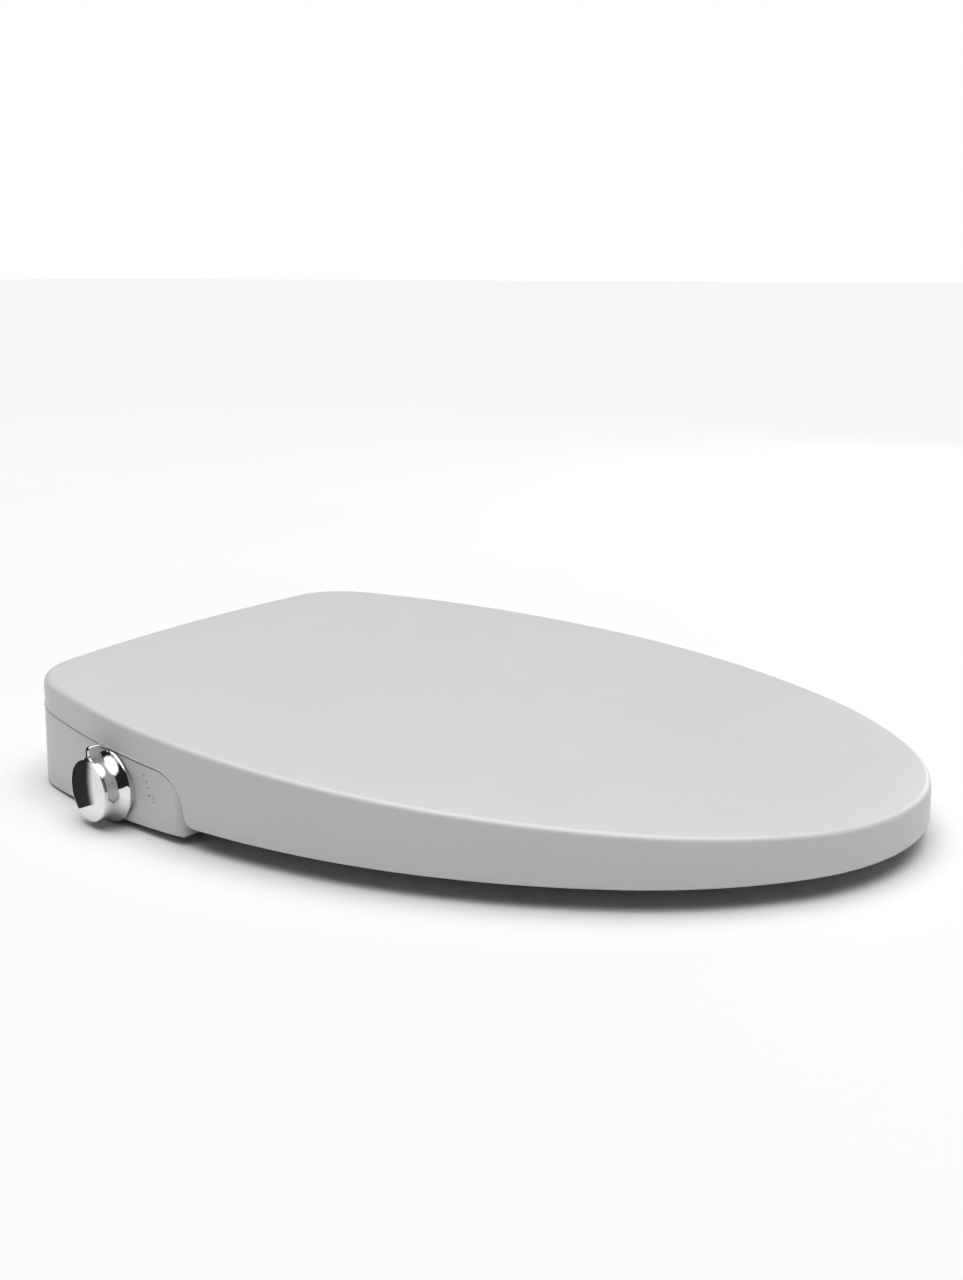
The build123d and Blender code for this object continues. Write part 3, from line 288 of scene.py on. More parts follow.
def lid_points():
    """The lid as columns round the outline and rows from the top's middle over the edge to the underside.

    Top: the plane top_z. Edge: inset = draft + r(1 - sin a), drop = r(1 - cos a). Skirt: inset falls from the
    draft to nothing at the foot. Foot: two quarter circles. Then the inner wall and the underside.
    """
    side, s, foot = both_sides(*lid_foot_line())
    y0 = plan(s, 0.0)[1]
    edge = LID_EDGE[0] + (LID_EDGE[1] - LID_EDGE[0]) * smooth(y0, *EDGE_GROWS)
    rows = []

    def row(inset, height, follow_top=True, low=None):
        """One row at an inset; height is a drop below the top plane, or a plain height."""
        x, y = plan(s, inset)
        z = top_z(y, height) if follow_top else height + 0 * y
        z = np.maximum(z, foot if low is None else low)
        rows.append(np.stack([side * x, y, z], axis=-1))

    def fan(inset, drop, shares):
        """Rows between the middle of the plate and its edge."""
        x, y = plan(s, inset)
        middle = (TIP_Y / MM + y.max()) / 2
        for share in shares:
            fx, fy = side * x * share, middle + (y - middle) * share
            rows.append(np.stack([fx, fy, top_z(fy, drop)], axis=-1))

    fan(LID_DRAFT + edge, 0.0, (0.0, 0.25, 0.5, 0.75, 0.9))
    for a in np.radians(np.linspace(0, 90, 10)):
        row(LID_DRAFT + edge * (1 - np.sin(a)), edge * (1 - np.cos(a)))
    start = top_z(plan(s, LID_DRAFT)[1], edge)
    for share in np.linspace(0, 1, 7)[1:]:
        z = start + (foot + FOOT_ROUND - start) * share
        row(LID_DRAFT * np.clip((z - LID_FOOT) / DRAFT_HEIGHT, 0, 1), z, follow_top=False)
    for a in np.radians(np.linspace(0, 90, 5))[1:]:
        row(FOOT_ROUND * (1 - np.cos(a)) + 0.02, foot + FOOT_ROUND * (1 - np.sin(a)), follow_top=False)
    for a in np.radians(np.linspace(90, 0, 5)):
        row(LID_WALL - FOOT_ROUND * (1 - np.cos(a)), foot + FOOT_ROUND * (1 - np.sin(a)), follow_top=False)
    under = top_z(plan(s, LID_WALL)[1], LID_TOP + INNER_ROUND)
    for share in np.linspace(0, 1, 4)[1:]:
        z = np.maximum(foot + FOOT_ROUND, foot) + (np.maximum(under, foot) - foot - FOOT_ROUND) * share
        row(LID_WALL, z, follow_top=False)
    for a in np.radians(np.linspace(0, 90, 6))[1:]:
        row(LID_WALL + INNER_ROUND * (1 - np.cos(a)), LID_TOP + INNER_ROUND * (1 - np.sin(a)))
    fan(LID_WALL + INNER_ROUND, LID_TOP, (0.9, 0.5, 0.0))
    return np.stack(rows, axis=1) * MM


lid_skin = grid_piece("lid_skin", lid_points())
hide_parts("lid_shell")
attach(lid_skin, "lid")

# %% [markdown]
# The lid turns on two ears that stand down from its underside just inside the hinge windows. On the real lid
# they are part of the same moulding, with a thin bush pressed into each. Each ear is a ring round its bush
# hole: round below, and carried straight up to the plate above.

# %% Lid ears
HINGE_YZ = (16.5, 55.3)
LID_EAR = (91.0, 100.0)
KNUCKLE_R = 5.8
BUSH_R = 4.2
EAR_BREAK = 0.5
EAR_INTO_PLATE = 0.8
TINY = 1e-3


def ear_outline(inset):
    """Points (y, z) round an ear: a half circle below the hinge, and a straight-sided block above it."""
    angle = np.linspace(0, 2 * np.pi, 97)[:-1]
    y, z = np.cos(angle) * (KNUCKLE_R - inset), np.sin(angle) * (KNUCKLE_R - inset)
    top = top_z(HINGE_YZ[0], LID_TOP - EAR_INTO_PLATE) - HINGE_YZ[1]
    to_side = 1 / np.maximum(np.abs(np.cos(angle)), TINY)
    to_top = top / KNUCKLE_R / np.maximum(np.sin(angle), TINY)
    reach = np.minimum(to_side, to_top)
    grow = np.where(z > 0, reach, 1.0)
    return y * grow, z * grow


def ear_ring(side):
    """One ear as a closed ring: hole wall, face, rounded edge, side, rounded edge, face."""
    hole = np.linspace(0, 2 * np.pi, 97)[:-1]
    hy, hz = BUSH_R * np.cos(hole), BUSH_R * np.sin(hole)
    inner, full = ear_outline(EAR_BREAK), ear_outline(0.0)
    steps = ((LID_EAR[0], hy, hz), (LID_EAR[0], *inner), (LID_EAR[0] + EAR_BREAK, *full),
             (LID_EAR[1] - EAR_BREAK, *full), (LID_EAR[1], *inner), (LID_EAR[1], hy, hz))
    rows = [np.stack([np.full(96, side * x), HINGE_YZ[0] + y, HINGE_YZ[1] + z], axis=-1) for x, y, z in steps]
    return np.stack(rows, axis=1) * MM


ears = []
for side, name in ((-1, "lid_ear_left"), (1, "lid_ear_right")):
    ear = grid_piece(name, ear_ring(side), wrap_rows=True)
    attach(ear, "lid")
    ears.append(ear)

# %% [markdown]
# ## CAD shapes with softened edges
# Some nodes already have the right shape, but a moulding never has a knife edge. A copy of such a node is
# merged, shaded smooth over its curves, and given a narrow bevel along its sharp edges.

# %% Softened copies
BODY_OF = {node: body for body, nodes in frame["record"]["behaviour"]["bodies"].items() for node in nodes}
SLOT_OF = {part["node"]: part["material_slot"] for part in frame["record"]["subparts"]}


def softened(node, width=0.35, segments=2, sharp_degrees=30.0):
    """A copy of a CAD node with its sharp edges rounded by width, in mm."""
    source = frame["nodes"][node]
    mesh = source.data.copy()
    mesh.name = node + "_skin"
    shade(mesh, sharp_degrees)
    piece = bpy.data.objects.new(node + "_skin", mesh)
    bpy.context.scene.collection.objects.link(piece)
    if width:
        bevel = piece.modifiers.new("rounded_edges", "BEVEL")
        bevel.width = width * MM
        bevel.segments = segments
        bevel.limit_method = "ANGLE"
        bevel.angle_limit = radians(sharp_degrees)
        bevel.harden_normals = True
        bevel.use_clamp_overlap = True
    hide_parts(node)
    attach(piece, BODY_OF[node])
    print(piece.name, len(mesh.polygons), "faces")
    return piece


cover_skin = softened("rear_cover", 0.5, 3)
seat_skin = softened("seat_ring", 0.4, 3)

# %% [markdown]
# ## Springs
# Three wire springs close up as something slides against them: one round each nozzle, and one behind the
# release button. Each is copied here from its node as a smooth-shaded mesh of its own, without a bevel. A wire
# spring is wound from hard drawn steel.

# %% Springs
NOZZLE_X = (("rear", -9.0), ("front", 9.0))


def closing_spring(node):
    """A smooth-shaded copy of a spring node, in a mesh of its own and without a bevel."""
    spring = softened(node, 0)
    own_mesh(spring)
    return spring


springs = []
for name, x in NOZZLE_X:
    springs.append(closing_spring(f"nozzle_spring_{name}"))
springs.append(closing_spring("release_spring"))

# %% [markdown]
# ## The knob
# The real knob is a zinc casting with bright chrome plating: a short barrel that spreads into a skirt at the
# housing, a domed disc on its end, and one thin tab along the top to turn it by. Plating shows every flat, so
# the barrel and the disc are turned from smooth profiles here, and the tab is a thin plate with round edges
# that swells where it joins the disc.

# %% Knob frame
KNOB_JOINT = next(j for j in frame["joints"] if j["name"] == "knob_turn")
KNOB_AT = np.array(KNOB_JOINT["pos_m"]) / MM
KNOB_OUT = np.array(KNOB_JOINT["axis"]) / np.linalg.norm(KNOB_JOINT["axis"])
KNOB_ACROSS = np.cross((0, 0, 1), KNOB_OUT)
UP = np.array((0.0, 0.0, 1.0))
KNOB_R = 17.0
KNOB_REACH = 14.0
TAB = (2.0, 14.2, 15.5, 24.6)
TAB_HALF = 1.45
TAB_EDGE = 0.7
print("knob at", KNOB_AT.round(1), "mm, turns about", KNOB_OUT.round(3))


def knob_points(out, across, up):
    """Points from distances out from the housing, across to the side and up, in mm."""
    place = [np.asarray(v, float)[..., None] for v in np.broadcast_arrays(out, across, up)]
    return (KNOB_AT + place[0] * KNOB_OUT + place[1] * KNOB_ACROSS + place[2] * UP) * MM


def rounded(profile, radius, steps=6):
    """An open (radius, out) profile with each inner corner replaced by a curve that starts radius away."""
    points = [np.array(profile[0], float)]
    for before, corner, after in zip(profile[:-2], profile[1:-1], profile[2:]):
        before, corner, after = (np.array(v, float) for v in (before, corner, after))
        back, ahead = before - corner, after - corner
        r = min(radius, 0.45 * np.linalg.norm(back), 0.45 * np.linalg.norm(ahead))
        a, b = corner + back / np.linalg.norm(back) * r, corner + ahead / np.linalg.norm(ahead) * r
        for t in np.linspace(0, 1, steps):
            points.append((1 - t) ** 2 * a + 2 * t * (1 - t) * corner + t ** 2 * b)
    points.append(np.array(profile[-1], float))
    return np.array(points)


def turned(profile, segments=144):
    """A body turned about the knob's axis from its (radius, out) profile."""
    angle = np.linspace(0, 2 * np.pi, segments + 1)[:-1, None]
    r, out = profile[None, :, 0], profile[None, :, 1]
    return knob_points(out, r * np.cos(angle), r * np.sin(angle))


# %% [markdown]
# Both profiles below run from the axis out and back, as pairs of radius and distance out. The barrel is
# hollow, with its skirt flaring to the housing; the disc is a cap pressed on its end, with a shallow dome.

# %% Knob barrel and disc
BORE_R = 14.8
BORE_END = 11.0
SKIRT_FOOT = 1.0
SKIRT_CURVE = [(20.5, SKIRT_FOOT), (20.2, 1.8), (18.6, 3.5), (17.3, 5.8), (KNOB_R, 8.5)]
RIM = 0.9
DOME_RISE = 1.1
DISC_BREAK = 0.5
dome_r = np.linspace(KNOB_R - RIM, 0, 16)
dome = [(r, KNOB_REACH + RIM + DOME_RISE * (1 - (r / (KNOB_R - RIM)) ** 2)) for r in dome_r]
BARREL = rounded([(0, BORE_END), (BORE_R, BORE_END), (BORE_R, SKIRT_FOOT), *SKIRT_CURVE,
                  (KNOB_R, KNOB_REACH), (0, KNOB_REACH)], RIM)
rim = rounded([(KNOB_R, KNOB_REACH + 0.1), (KNOB_R, KNOB_REACH + 0.7), dome[0]], DISC_BREAK)
DISC = np.concatenate([[(0, KNOB_REACH), (KNOB_R - 0.2, KNOB_REACH)], rim, dome])
barrel_skin = grid_piece("knob_barrel_skin", turned(BARREL))
disc_skin = grid_piece("knob_disc_skin", turned(DISC))
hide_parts("knob")
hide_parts("knob_cap")
for piece in (barrel_skin, disc_skin):
    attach(piece, "control_knob")

# %% [markdown]
# The tab stands on the barrel like a fin. Its two upper corners are rounded in side view, its edges are
# rounded all along, and beside the disc it thickens towards its foot, as a casting does for strength.

# %% Knob tab
SWELL = 2.2
SWELL_OUT = (11.3, 13.6)
SWELL_UP = (16.3, 20.5)


def tab_outline(inset, corners=(4.5, 2.5), steps=12):
    """The tab's side view as (out, up) points: a rectangle whose two upper corners are rounded."""
    rear, front, low, top = TAB[0] + inset, TAB[1] - inset, TAB[2] + inset, TAB[3] - inset
    r0, r1 = corners[0] - inset, corners[1] - inset
    a = np.radians(np.linspace(180, 90, steps))
    b = np.radians(np.linspace(90, 0, steps))
    straight = np.linspace(0, 1, 14)[:-1]
    rear_edge = np.stack([np.full(13, rear), low + (top - r0 - low) * straight], axis=-1)
    rear_corner = np.stack([rear + r0 + r0 * np.cos(a), top - r0 + r0 * np.sin(a)], axis=-1)
    front_corner = np.stack([front - r1 + r1 * np.cos(b), top - r1 + r1 * np.sin(b)], axis=-1)
    front_edge = np.stack([np.full(13, front), top - r1 - (top - r1 - low) * straight], axis=-1)
    base = np.stack([front - (front - rear) * straight, np.full(13, low)], axis=-1)
    return np.concatenate([rear_edge, rear_corner, front_corner, front_edge, base])


def tab_points():
    """A plate with round edges. Its half thickness grows by a smooth step towards the disc's rim below."""
    rows = []
    middle = np.array([(TAB[0] + TAB[1]) / 2, (TAB[2] + TAB[3]) / 2])

    def row(outline, half):
        """One loop of the plate's surface at a distance to one side of its middle."""
        out, up = outline[:, 0], outline[:, 1]
        swell = 1 + SWELL * smooth(out, *SWELL_OUT) * (1 - smooth(up, *SWELL_UP)) ** 2
        rows.append(knob_points(out, half * swell, up))

    flat = tab_outline(TAB_EDGE)
    for side in (-1, 1):
        shares = (0.0, 0.35, 0.7, 0.9) if side < 0 else (0.9, 0.7, 0.35, 0.0)
        angles = np.radians(np.linspace(0, 90, 6))
        faces = [middle + (flat - middle) * share for share in shares]
        edges = [(tab_outline(TAB_EDGE * (1 - np.sin(a))), TAB_HALF - TAB_EDGE * (1 - np.cos(a)))
                 for a in angles]
        if side < 0:
            for face in faces:
                row(face, -TAB_HALF)
            for outline, half in edges:
                row(outline, -half)
        else:
            for outline, half in edges[::-1]:
                row(outline, half)
            for face in faces:
                row(face, TAB_HALF)
    return np.stack(rows, axis=1)


tab_skin = grid_piece("knob_tab_skin", tab_points())
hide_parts("knob")
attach(tab_skin, "control_knob")

# %% [markdown]
# ## Printed marks
# Four pad-printed dots beside the knob grow downward, to show which way gives more water, and a small plain
# spray mark stands next to the last. Ink is a film a few hundredths of a millimetre thick. Each mark is found
# on the cover by looking straight in from the side, so it lies on the surface wherever that is.

# %% Where the marks lie
cover_mesh = frame["nodes"]["rear_cover"].data
COVER = BVHTree.FromPolygons([v.co[:] for v in cover_mesh.vertices],
                             [p.vertices[:] for p in cover_mesh.polygons])
INK = 0.03
SIDE_X = -0.3
DOTS = ((-105.8, 32.6, 0.42), (-107.9, 29.4, 0.5), (-108.4, 25.9, 0.6), (-108.6, 21.8, 0.72))
SPRAY = ((-112.4, 22.4, 0.3, 0.3), (-113.2, 20.9, 0.26, 0.5), (-111.6, 20.7, 0.26, 0.5),
         (-112.5, 18.9, 0.75, 0.3))


def on_cover(y, z):
    """The point and outward direction of the cover's side at this y and z, in mm."""
    hit, normal, _, _ = COVER.ray_cast(Vector((SIDE_X, y * MM, z * MM)), Vector((1, 0, 0)))
    return np.array(hit) / MM, np.array(normal) * np.sign(-normal.x)


def ink_mark(name, y, z, wide, tall):
    """A thin domed oval: rings shrink to the middle as they rise off the surface by the ink's thickness."""
    at, out = on_cover(y, z)
    across = np.cross(UP, out)
    across /= np.linalg.norm(across)
    up = np.cross(out, across)
    angle = np.linspace(0, 2 * np.pi, 33)[:-1, None]
    share = np.array((0.0, 1.0, 1.0, 0.85, 0.5, 0.0))[None, :]
    rise = np.array((-0.12, -0.12, 0.2, 0.8, 1.0, 1.0))[None, :] * INK
    points = (at + (wide * share * np.cos(angle))[..., None] * across
              + (tall * share * np.sin(angle))[..., None] * up + rise[..., None] * out)
    mark = grid_piece(name, points * MM)
    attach(mark, "housing")
    return mark


marks = [ink_mark(f"pressure_dot_{k + 1}", y, z, r, r) for k, (y, z, r) in enumerate(DOTS)]
marks += [ink_mark(f"spray_mark_{k + 1}", y, z, a, b) for k, (y, z, a, b) in enumerate(SPRAY)]

# %% [markdown]
# ## Finishes
# Three effects are shared. Moulded grain is the faint spark-eroded texture and slow tone change of injection
# moulded plastic. Handling is the pattern of wiped smears that dulls a gloss here and there, and the dust
# that settles on what faces up. Metal wear is the fine wandering scratch pattern of polished or machined
# metal. Each effect is a node group, so that every material that needs it shares one recipe, and it puts out
# plain values that each material turns into its own colours and gloss. Painted image textures could do the
# same, but would need an unwrap for every piece and would blur close up.

# %% Shared effects


def new_group(name, inputs, outputs):
    """An empty node group with the named sockets, and its input and output nodes."""
    tree = bpy.data.node_groups.new(name, "ShaderNodeTree")
    for socket, kind, default in inputs:
        made = tree.interface.new_socket(name=socket, in_out="INPUT", socket_type=kind)
        if default is not None:
            made.default_value = default
    for socket in outputs:
        tree.interface.new_socket(name=socket, in_out="OUTPUT", socket_type="NodeSocketFloat")
    return tree, tree.nodes.new("NodeGroupInput"), tree.nodes.new("NodeGroupOutput")


def noise(tree, vector, scale, detail=3.0, rough=0.5, distortion=0.0):
    """A noise texture. scale may be a number or another node's output."""
    node = tree.nodes.new("ShaderNodeTexNoise")
    tree.links.new(vector, node.inputs["Vector"])
    if isinstance(scale, (int, float)):
        node.inputs["Scale"].default_value = scale
    else:
        tree.links.new(scale, node.inputs["Scale"])
    node.inputs["Detail"].default_value = detail
    node.inputs["Roughness"].default_value = rough
    node.inputs["Distortion"].default_value = distortion
    return node.outputs["Fac"]


def remap(tree, value, a, b, low=0.0, high=1.0):
    """A smooth step: value a to b becomes low to high."""
    node = tree.nodes.new("ShaderNodeMapRange")
    node.interpolation_type = "SMOOTHSTEP"
    tree.links.new(value, node.inputs["Value"])
    for socket, number in zip(("From Min", "From Max", "To Min", "To Max"), (a, b, low, high)):
        node.inputs[socket].default_value = number
    return node.outputs["Result"]


def maths(tree, operation, a, b):
    """One math node. a and b are outputs or numbers."""
    node = tree.nodes.new("ShaderNodeMath")
    node.operation = operation
    for socket, value in zip(node.inputs, (a, b)):
        if isinstance(value, (int, float)):
            socket.default_value = value
        else:
            tree.links.new(value, socket)
    return node.outputs[0]


def grain_group():
    """Slow tone, rare specks, and a relief of fine noise mixed with small round pits."""
    tree, given, made = new_group("moulded_grain", (("Vector", "NodeSocketVector", None),
                                  ("Grain", "NodeSocketFloat", 900.0)), ("Tone", "Speck", "Height"))
    vector, grain = given.outputs["Vector"], given.outputs["Grain"]
    broad = noise(tree, vector, 9.0, 2.0)
    fine = noise(tree, vector, grain, 4.0, 0.6)
    cells = tree.nodes.new("ShaderNodeTexVoronoi")
    tree.links.new(vector, cells.inputs["Vector"])
    tree.links.new(grain, cells.inputs["Scale"])
    pits = remap(tree, cells.outputs["Distance"], 0.0, 0.6)
    specks = noise(tree, vector, 260.0, 1.0)
    tree.links.new(remap(tree, broad, 0.3, 0.7), made.inputs["Tone"])
    tree.links.new(remap(tree, specks, 0.74, 0.8), made.inputs["Speck"])
    tree.links.new(maths(tree, "ADD", maths(tree, "MULTIPLY", fine, 0.6), maths(tree, "MULTIPLY", pits, 0.4)),
                   made.inputs["Height"])
    return tree


def handling_group():
    """Smears where broad patches and short strokes meet, and dust on faces that point up."""
    tree, given, made = new_group("handling", (("Vector", "NodeSocketVector", None),), ("Smear", "Dust"))
    vector = given.outputs["Vector"]
    patches = noise(tree, vector, 14.0, 3.0, 0.55, 0.6)
    strokes = noise(tree, vector, 55.0, 2.0, 0.5, 1.5)
    smear = maths(tree, "MULTIPLY", remap(tree, patches, 0.45, 0.68), remap(tree, strokes, 0.35, 0.65))
    geometry = tree.nodes.new("ShaderNodeNewGeometry")
    split = tree.nodes.new("ShaderNodeSeparateXYZ")
    tree.links.new(geometry.outputs["Normal"], split.inputs[0])
    upward = remap(tree, split.outputs["Z"], 0.6, 1.0)
    settled = maths(tree, "MULTIPLY", upward, noise(tree, vector, 700.0, 2.0))
    tree.links.new(smear, made.inputs["Smear"])
    tree.links.new(settled, made.inputs["Dust"])
    return tree


def wear_group():
    """Scratches along the middle level of a twisted noise, a slow cloud, and the relief of both."""
    tree, given, made = new_group("metal_wear", (("Vector", "NodeSocketVector", None),
                                  ("Fineness", "NodeSocketFloat", 300.0)), ("Scratch", "Cloud", "Height"))
    vector, fineness = given.outputs["Vector"], given.outputs["Fineness"]
    line = noise(tree, vector, fineness, 2.0, 0.5, 3.0)
    scratch = remap(tree, maths(tree, "ABSOLUTE", maths(tree, "SUBTRACT", line, 0.5), 0.0), 0.012, 0.0)
    cloud = noise(tree, vector, 40.0, 3.0)
    tree.links.new(scratch, made.inputs["Scratch"])
    tree.links.new(remap(tree, cloud, 0.35, 0.7), made.inputs["Cloud"])
    tree.links.new(maths(tree, "ADD", line, maths(tree, "MULTIPLY", scratch, -0.4)), made.inputs["Height"])
    return tree


GRAIN, HANDLING, WEAR = grain_group(), handling_group(), wear_group()
print("effects:", [g.name for g in (GRAIN, HANDLING, WEAR)])

# %% [markdown]
# One recipe makes every plastic, rubber and ceramic piece, and another every metal one. The lid, seat and
# cover are glossy white polypropylene, the tray, gate and nozzles matte white, and the hinge blocks, dampers
# and valve body grey nylon. The knob is chrome, the screws and springs steel, and the valve's stem brass.
# Nothing is one flat colour: the tone wanders a little, as it does in anything moulded, cast or drawn.

# %% Material recipes
PLASTIC_IOR = 1.46
COAT_ROUGH = 0.12
SPECK_TINT = 0.18
DUST_TINT = 0.05
PLASTIC_RELIEF = 0.00003
METAL_RELIEF = 0.00001


def start_material(name):
    """A material with a Principled BSDF, and the object coordinate its effects read."""
    material = bpy.data.materials.new(name)
    material.use_nodes = True
    tree = material.node_tree
    coordinate = tree.nodes.new("ShaderNodeTexCoord").outputs["Object"]
    return material, tree, tree.nodes["Principled BSDF"], coordinate


def effect(tree, group, coordinate, **numbers):
    """A shared effect placed in a material, with its numbers set. Returns its outputs."""
    node = tree.nodes.new("ShaderNodeGroup")
    node.node_tree = group
    tree.links.new(coordinate, node.inputs["Vector"])
    for socket, value in numbers.items():
        node.inputs[socket].default_value = value
    return node.outputs


def mixed(tree, factor, a, b):
    """Colour a to colour b by a factor. a may also be another node's output."""
    node = tree.nodes.new("ShaderNodeMix")
    node.data_type = "RGBA"
    tree.links.new(factor, node.inputs["Factor"])
    if isinstance(a, tuple):
        node.inputs["A"].default_value = (*a, 1.0)
    else:
        tree.links.new(a, node.inputs["A"])
    node.inputs["B"].default_value = (*b, 1.0)
    return node.outputs["Result"]


def bump(tree, shader, height, strength, depth):
    """The height, at most depth metres deep, as a normal for the shader."""
    node = tree.nodes.new("ShaderNodeBump")
    node.inputs["Strength"].default_value = strength
    node.inputs["Distance"].default_value = depth
    tree.links.new(height, node.inputs["Height"])
    tree.links.new(node.outputs["Normal"], shader.inputs["Normal"])


def plastic(name, light, dark, gloss, dull, grain=900.0, strength=0.12, coat=0.0, dusty=(0.5, 0.49, 0.47)):
    """Moulded plastic: tone wanders from light to dark, specks and dust tint it, smears change its gloss."""
    material, tree, shader, at = start_material(name)
    skin, marks = effect(tree, GRAIN, at, Grain=grain), effect(tree, HANDLING, at)
    colour = mixed(tree, skin["Tone"], light, dark)
    colour = mixed(tree, maths(tree, "MULTIPLY", skin["Speck"], SPECK_TINT), colour, dusty)
    colour = mixed(tree, maths(tree, "MULTIPLY", marks["Dust"], DUST_TINT), colour, dusty)
    tree.links.new(colour, shader.inputs["Base Color"])
    tree.links.new(remap(tree, marks["Smear"], 0.0, 1.0, gloss, dull), shader.inputs["Roughness"])
    shader.inputs["Coat Weight"].default_value = coat
    shader.inputs["Coat Roughness"].default_value = COAT_ROUGH
    shader.inputs["IOR"].default_value = PLASTIC_IOR
    bump(tree, shader, skin["Height"], strength, PLASTIC_RELIEF)
    return material


def metal(name, light, dark, smooth_rough, worn_rough, fineness=300.0, strength=0.1):
    """Metal: cloudy tone, fine scratches that scatter more light, and a very shallow relief."""
    material, tree, shader, at = start_material(name)
    worn, marks = effect(tree, WEAR, at, Fineness=fineness), effect(tree, HANDLING, at)
    tree.links.new(mixed(tree, worn["Cloud"], light, dark), shader.inputs["Base Color"])
    shader.inputs["Metallic"].default_value = 1.0
    rough = maths(tree, "ADD", remap(tree, worn["Scratch"], 0.0, 1.0, smooth_rough, worn_rough),
                  maths(tree, "MULTIPLY", marks["Smear"], 0.5 * (worn_rough - smooth_rough)))
    tree.links.new(rough, shader.inputs["Roughness"])
    bump(tree, shader, worn["Height"], strength, METAL_RELIEF)
    return material


print("recipes read", [group.name for group in (GRAIN, HANDLING, WEAR)])

# %% [markdown]
# Each line gives a finish's light and dark tone, its roughness where clean and where handled, and how fine
# and how strong its relief is. A fresh moulding is nearly even, so its two tones lie close together.

# %% Materials
MATERIALS = {
    "white_gloss": plastic("white_gloss_moulding", (0.60, 0.60, 0.60), (0.59, 0.59, 0.59),
                           0.36, 0.40, 1400.0, 0.05),
    "white_matte": plastic("white_matte_moulding", (0.57, 0.57, 0.56), (0.53, 0.53, 0.52),
                           0.52, 0.64, 700.0, 0.25),
    "grey_nylon": plastic("grey_nylon", (0.23, 0.235, 0.24), (0.18, 0.185, 0.19), 0.45, 0.6, 600.0, 0.3),
    "soft_rubber": plastic("pale_grey_rubber", (0.34, 0.34, 0.33), (0.27, 0.27, 0.26),
                           0.7, 0.85, 500.0, 0.4),
    "valve_ceramic": plastic("valve_ceramic", (0.78, 0.76, 0.72), (0.72, 0.70, 0.66),
                             0.12, 0.22, 2200.0, 0.05, 0.4),
    "hose_tube": plastic("milky_hose", (0.62, 0.63, 0.62), (0.52, 0.54, 0.54), 0.3, 0.45, 420.0, 0.15, 0.2),
    "chrome": metal("bright_chrome", (0.80, 0.80, 0.81), (0.74, 0.74, 0.75), 0.05, 0.10, 260.0, 0.02),
    "steel": metal("stainless_steel", (0.56, 0.56, 0.55), (0.46, 0.46, 0.45), 0.24, 0.4, 500.0, 0.15),
    "brass": metal("turned_brass", (0.72, 0.52, 0.26), (0.60, 0.42, 0.20), 0.2, 0.38, 420.0, 0.15),
}
INK_MATERIAL = plastic("grey_print", (0.10, 0.10, 0.105), (0.07, 0.07, 0.075), 0.5, 0.6, 3000.0, 0.2)
WHITE_SKINS = [lid_skin, cover_skin, seat_skin, *ears]
CHROME_SKINS = [barrel_skin, disc_skin, tab_skin]


def paint(piece, material):
    """One material in place of whatever the piece had."""
    piece.data.materials.clear()
    piece.data.materials.append(material)


for node, piece in frame["nodes"].items():
    paint(piece, MATERIALS[SLOT_OF[node]])
for piece in WHITE_SKINS:
    paint(piece, MATERIALS["white_gloss"])
for piece in CHROME_SKINS:
    paint(piece, MATERIALS["chrome"])
for piece in springs:
    paint(piece, MATERIALS["steel"])
for mark in marks:
    mark.data.materials.append(INK_MATERIAL)
print("materials:", sorted(MATERIALS))

# %% [markdown]
# ## Stage and light
# A plain white floor, and a surround that is bright overhead and dim near the horizon. The dim band is what
# gives the skirt its grey and the chrome its dark stripes. One large soft light stands to the right, so the
# tip's far side and the rolled edge of the lid catch it. A small dark card beside the knob, which only
# mirrors see, gives the disc its dark side, as a black card does in a studio.

# %% Floor
FLOOR_GAP = 0.0005
FLOOR_Z = CAD_BOX[0][2] - FLOOR_GAP
FLOOR_REACH = 30.0


def flat_sheet(name, corners, material):
    """A sheet with four corners in metres, marked as part of the stage."""
    mesh = bpy.data.meshes.new(name)
    mesh.from_pydata(corners, [], [(0, 1, 2, 3)])
    mesh.materials.append(material)
    sheet = bpy.data.objects.new(name, mesh)
    bpy.context.scene.collection.objects.link(sheet)
    return sheet


def floor_material():
    """Pale matte paper: two near whites in slow patches."""
    material, tree, shader, at = start_material("pale_floor")
    tree.links.new(mixed(tree, noise(tree, at, 3.0, 2.0), (0.76, 0.76, 0.76), (0.74, 0.74, 0.74)),
                   shader.inputs["Base Color"])
    shader.inputs["Roughness"].default_value = 0.9
    shader.inputs["Specular IOR Level"].default_value = 0.1
    return material


def make_floor():
    """One large flat sheet just under the lowest pad."""
    r, z = FLOOR_REACH, FLOOR_Z
    return flat_sheet("studio_floor", [(-r, -r, z), (r, -r, z), (r, r, z), (-r, r, z)], floor_material())


make_floor()
print("floor at", round(FLOOR_Z / MM, 2), "mm")

# %% [markdown]
# The light is small in power and wide in size: the surround does most of the work, and the light only lifts
# the far side. The card fades in along its length, so that the dark in the disc has no hard edge.

# %% Light and card
MIDDLE = (0.0, -0.2, 0.03)
KEY_AT = (1.7, -0.6, 0.5)
KEY_SIZE = 0.8
KEY_POWER = 5.0
CARD_X = (-0.209, -0.199, -0.184)
CARD_Y = -0.045
CARD_TALL = 0.06


def area_light(name, place, target, size, power):
    """A square soft light at a place, turned to face a target."""
    data = bpy.data.lights.new(name, "AREA")
    data.shape = "SQUARE"
    data.size = size
    data.energy = power
    light = bpy.data.objects.new(name, data)
    light.location = place
    light.rotation_euler = (Vector(place) - Vector(target)).to_track_quat("Z", "Y").to_euler()
    bpy.context.scene.collection.objects.link(light)
    return light


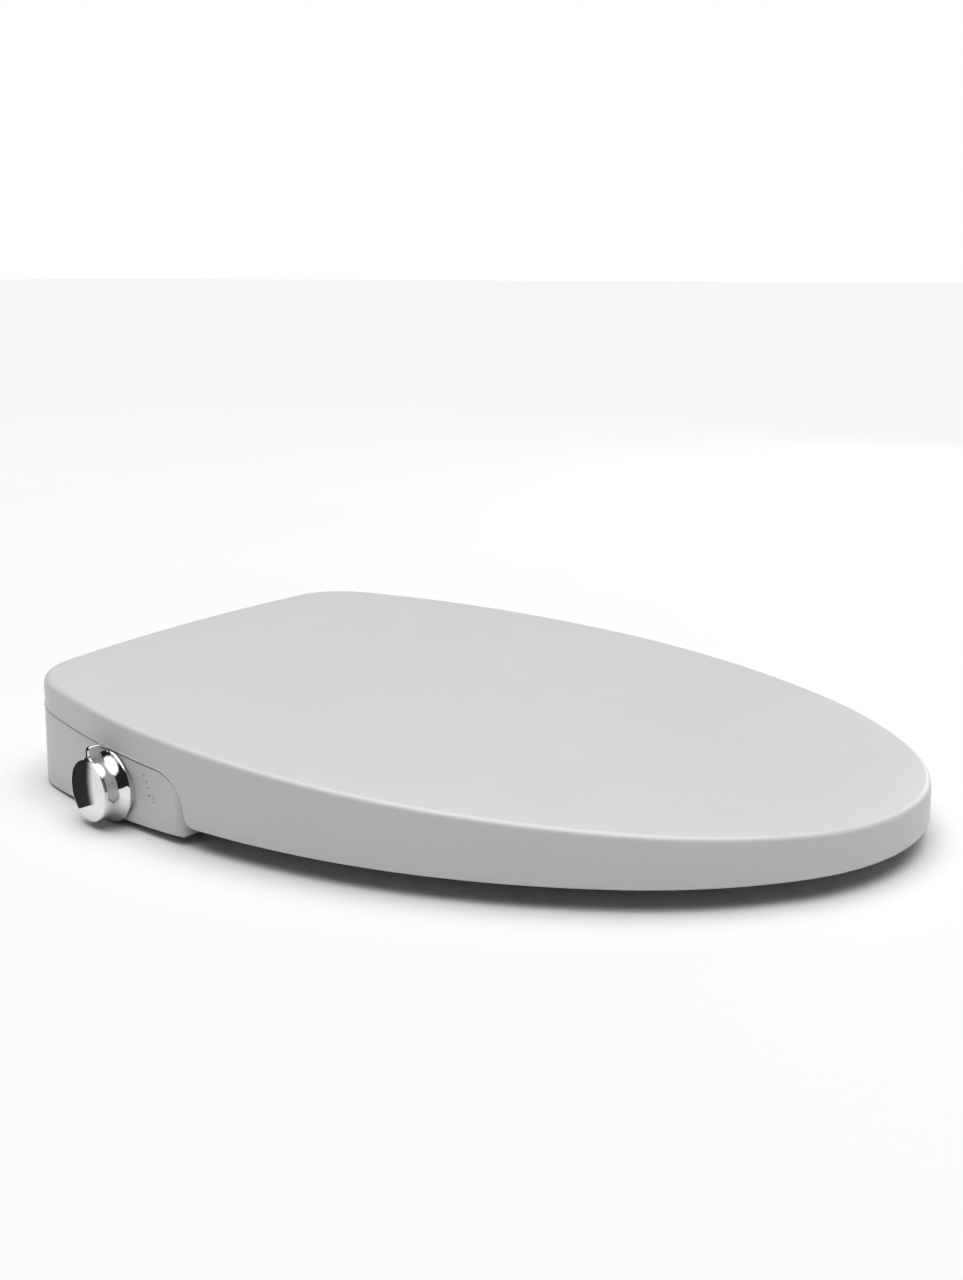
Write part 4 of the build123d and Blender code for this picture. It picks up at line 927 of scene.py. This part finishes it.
def dark_flag(name, x_clear, x_dark, x_end, y, tall):
    """A dark upright card that only mirrors see. It fades in from x_clear to x_dark and stops at x_end."""
    material, tree, shader, at = start_material(name)
    split = tree.nodes.new("ShaderNodeSeparateXYZ")
    tree.links.new(at, split.inputs[0])
    tree.links.new(remap(tree, split.outputs["X"], x_clear, x_dark), shader.inputs["Alpha"])
    tree.links.new(mixed(tree, noise(tree, at, 20.0), (0.008, 0.008, 0.008), (0.015, 0.015, 0.015)),
                   shader.inputs["Base Color"])
    corners = [(x_clear, y, 0), (x_end, y, 0), (x_end, y, tall), (x_clear, y, tall)]
    flag = flat_sheet(name, corners, material)
    flag.visible_camera = False
    flag.visible_diffuse = False
    flag.visible_shadow = False


area_light("key_from_right", KEY_AT, MIDDLE, KEY_SIZE, KEY_POWER)
dark_flag("flag_for_the_disc", *CARD_X, CARD_Y, CARD_TALL)
print("key light", KEY_POWER, "W, card", CARD_TALL / MM, "mm tall")

# %% [markdown]
# The surround shines by height alone. Everything but the camera sees dim light level with the seat and
# bright light overhead; the camera itself sees plain white, so that the seat stands on a clean ground.

# %% Surround
SURROUND_RAMP = (0.68, 0.98)
SURROUND_DIM = 0.02
SURROUND_BRIGHT = 4.1
PLAIN_WHITE = 1.0


def make_surround(dim, bright, plain_white):
    """The surround's brightness by height: dim at the horizon, bright overhead, plain white to the camera."""
    world = bpy.data.worlds.new("studio_surround")
    bpy.context.scene.world = world
    world.use_nodes = True
    nodes, links = world.node_tree.nodes, world.node_tree.links
    nodes.clear()
    split = nodes.new("ShaderNodeSeparateXYZ")
    links.new(nodes.new("ShaderNodeTexCoord").outputs["Generated"], split.inputs[0])
    level = remap(world.node_tree, split.outputs["Z"], *SURROUND_RAMP, dim, bright)
    surround = nodes.new("ShaderNodeBackground")
    links.new(level, surround.inputs["Strength"])
    plain = nodes.new("ShaderNodeBackground")
    plain.inputs["Color"].default_value = (1, 1, 1, 1)
    plain.inputs["Strength"].default_value = plain_white
    surround.inputs["Color"].default_value = (1, 1, 1, 1)
    mix, output = nodes.new("ShaderNodeMixShader"), nodes.new("ShaderNodeOutputWorld")
    links.new(nodes.new("ShaderNodeLightPath").outputs["Is Camera Ray"], mix.inputs["Fac"])
    links.new(surround.outputs[0], mix.inputs[1])
    links.new(plain.outputs[0], mix.inputs[2])
    links.new(mix.outputs[0], output.inputs["Surface"])


make_surround(SURROUND_DIM, SURROUND_BRIGHT, PLAIN_WHITE)
bpy.context.scene.view_settings.view_transform = "Standard"
print("surround from", SURROUND_DIM, "to", SURROUND_BRIGHT)
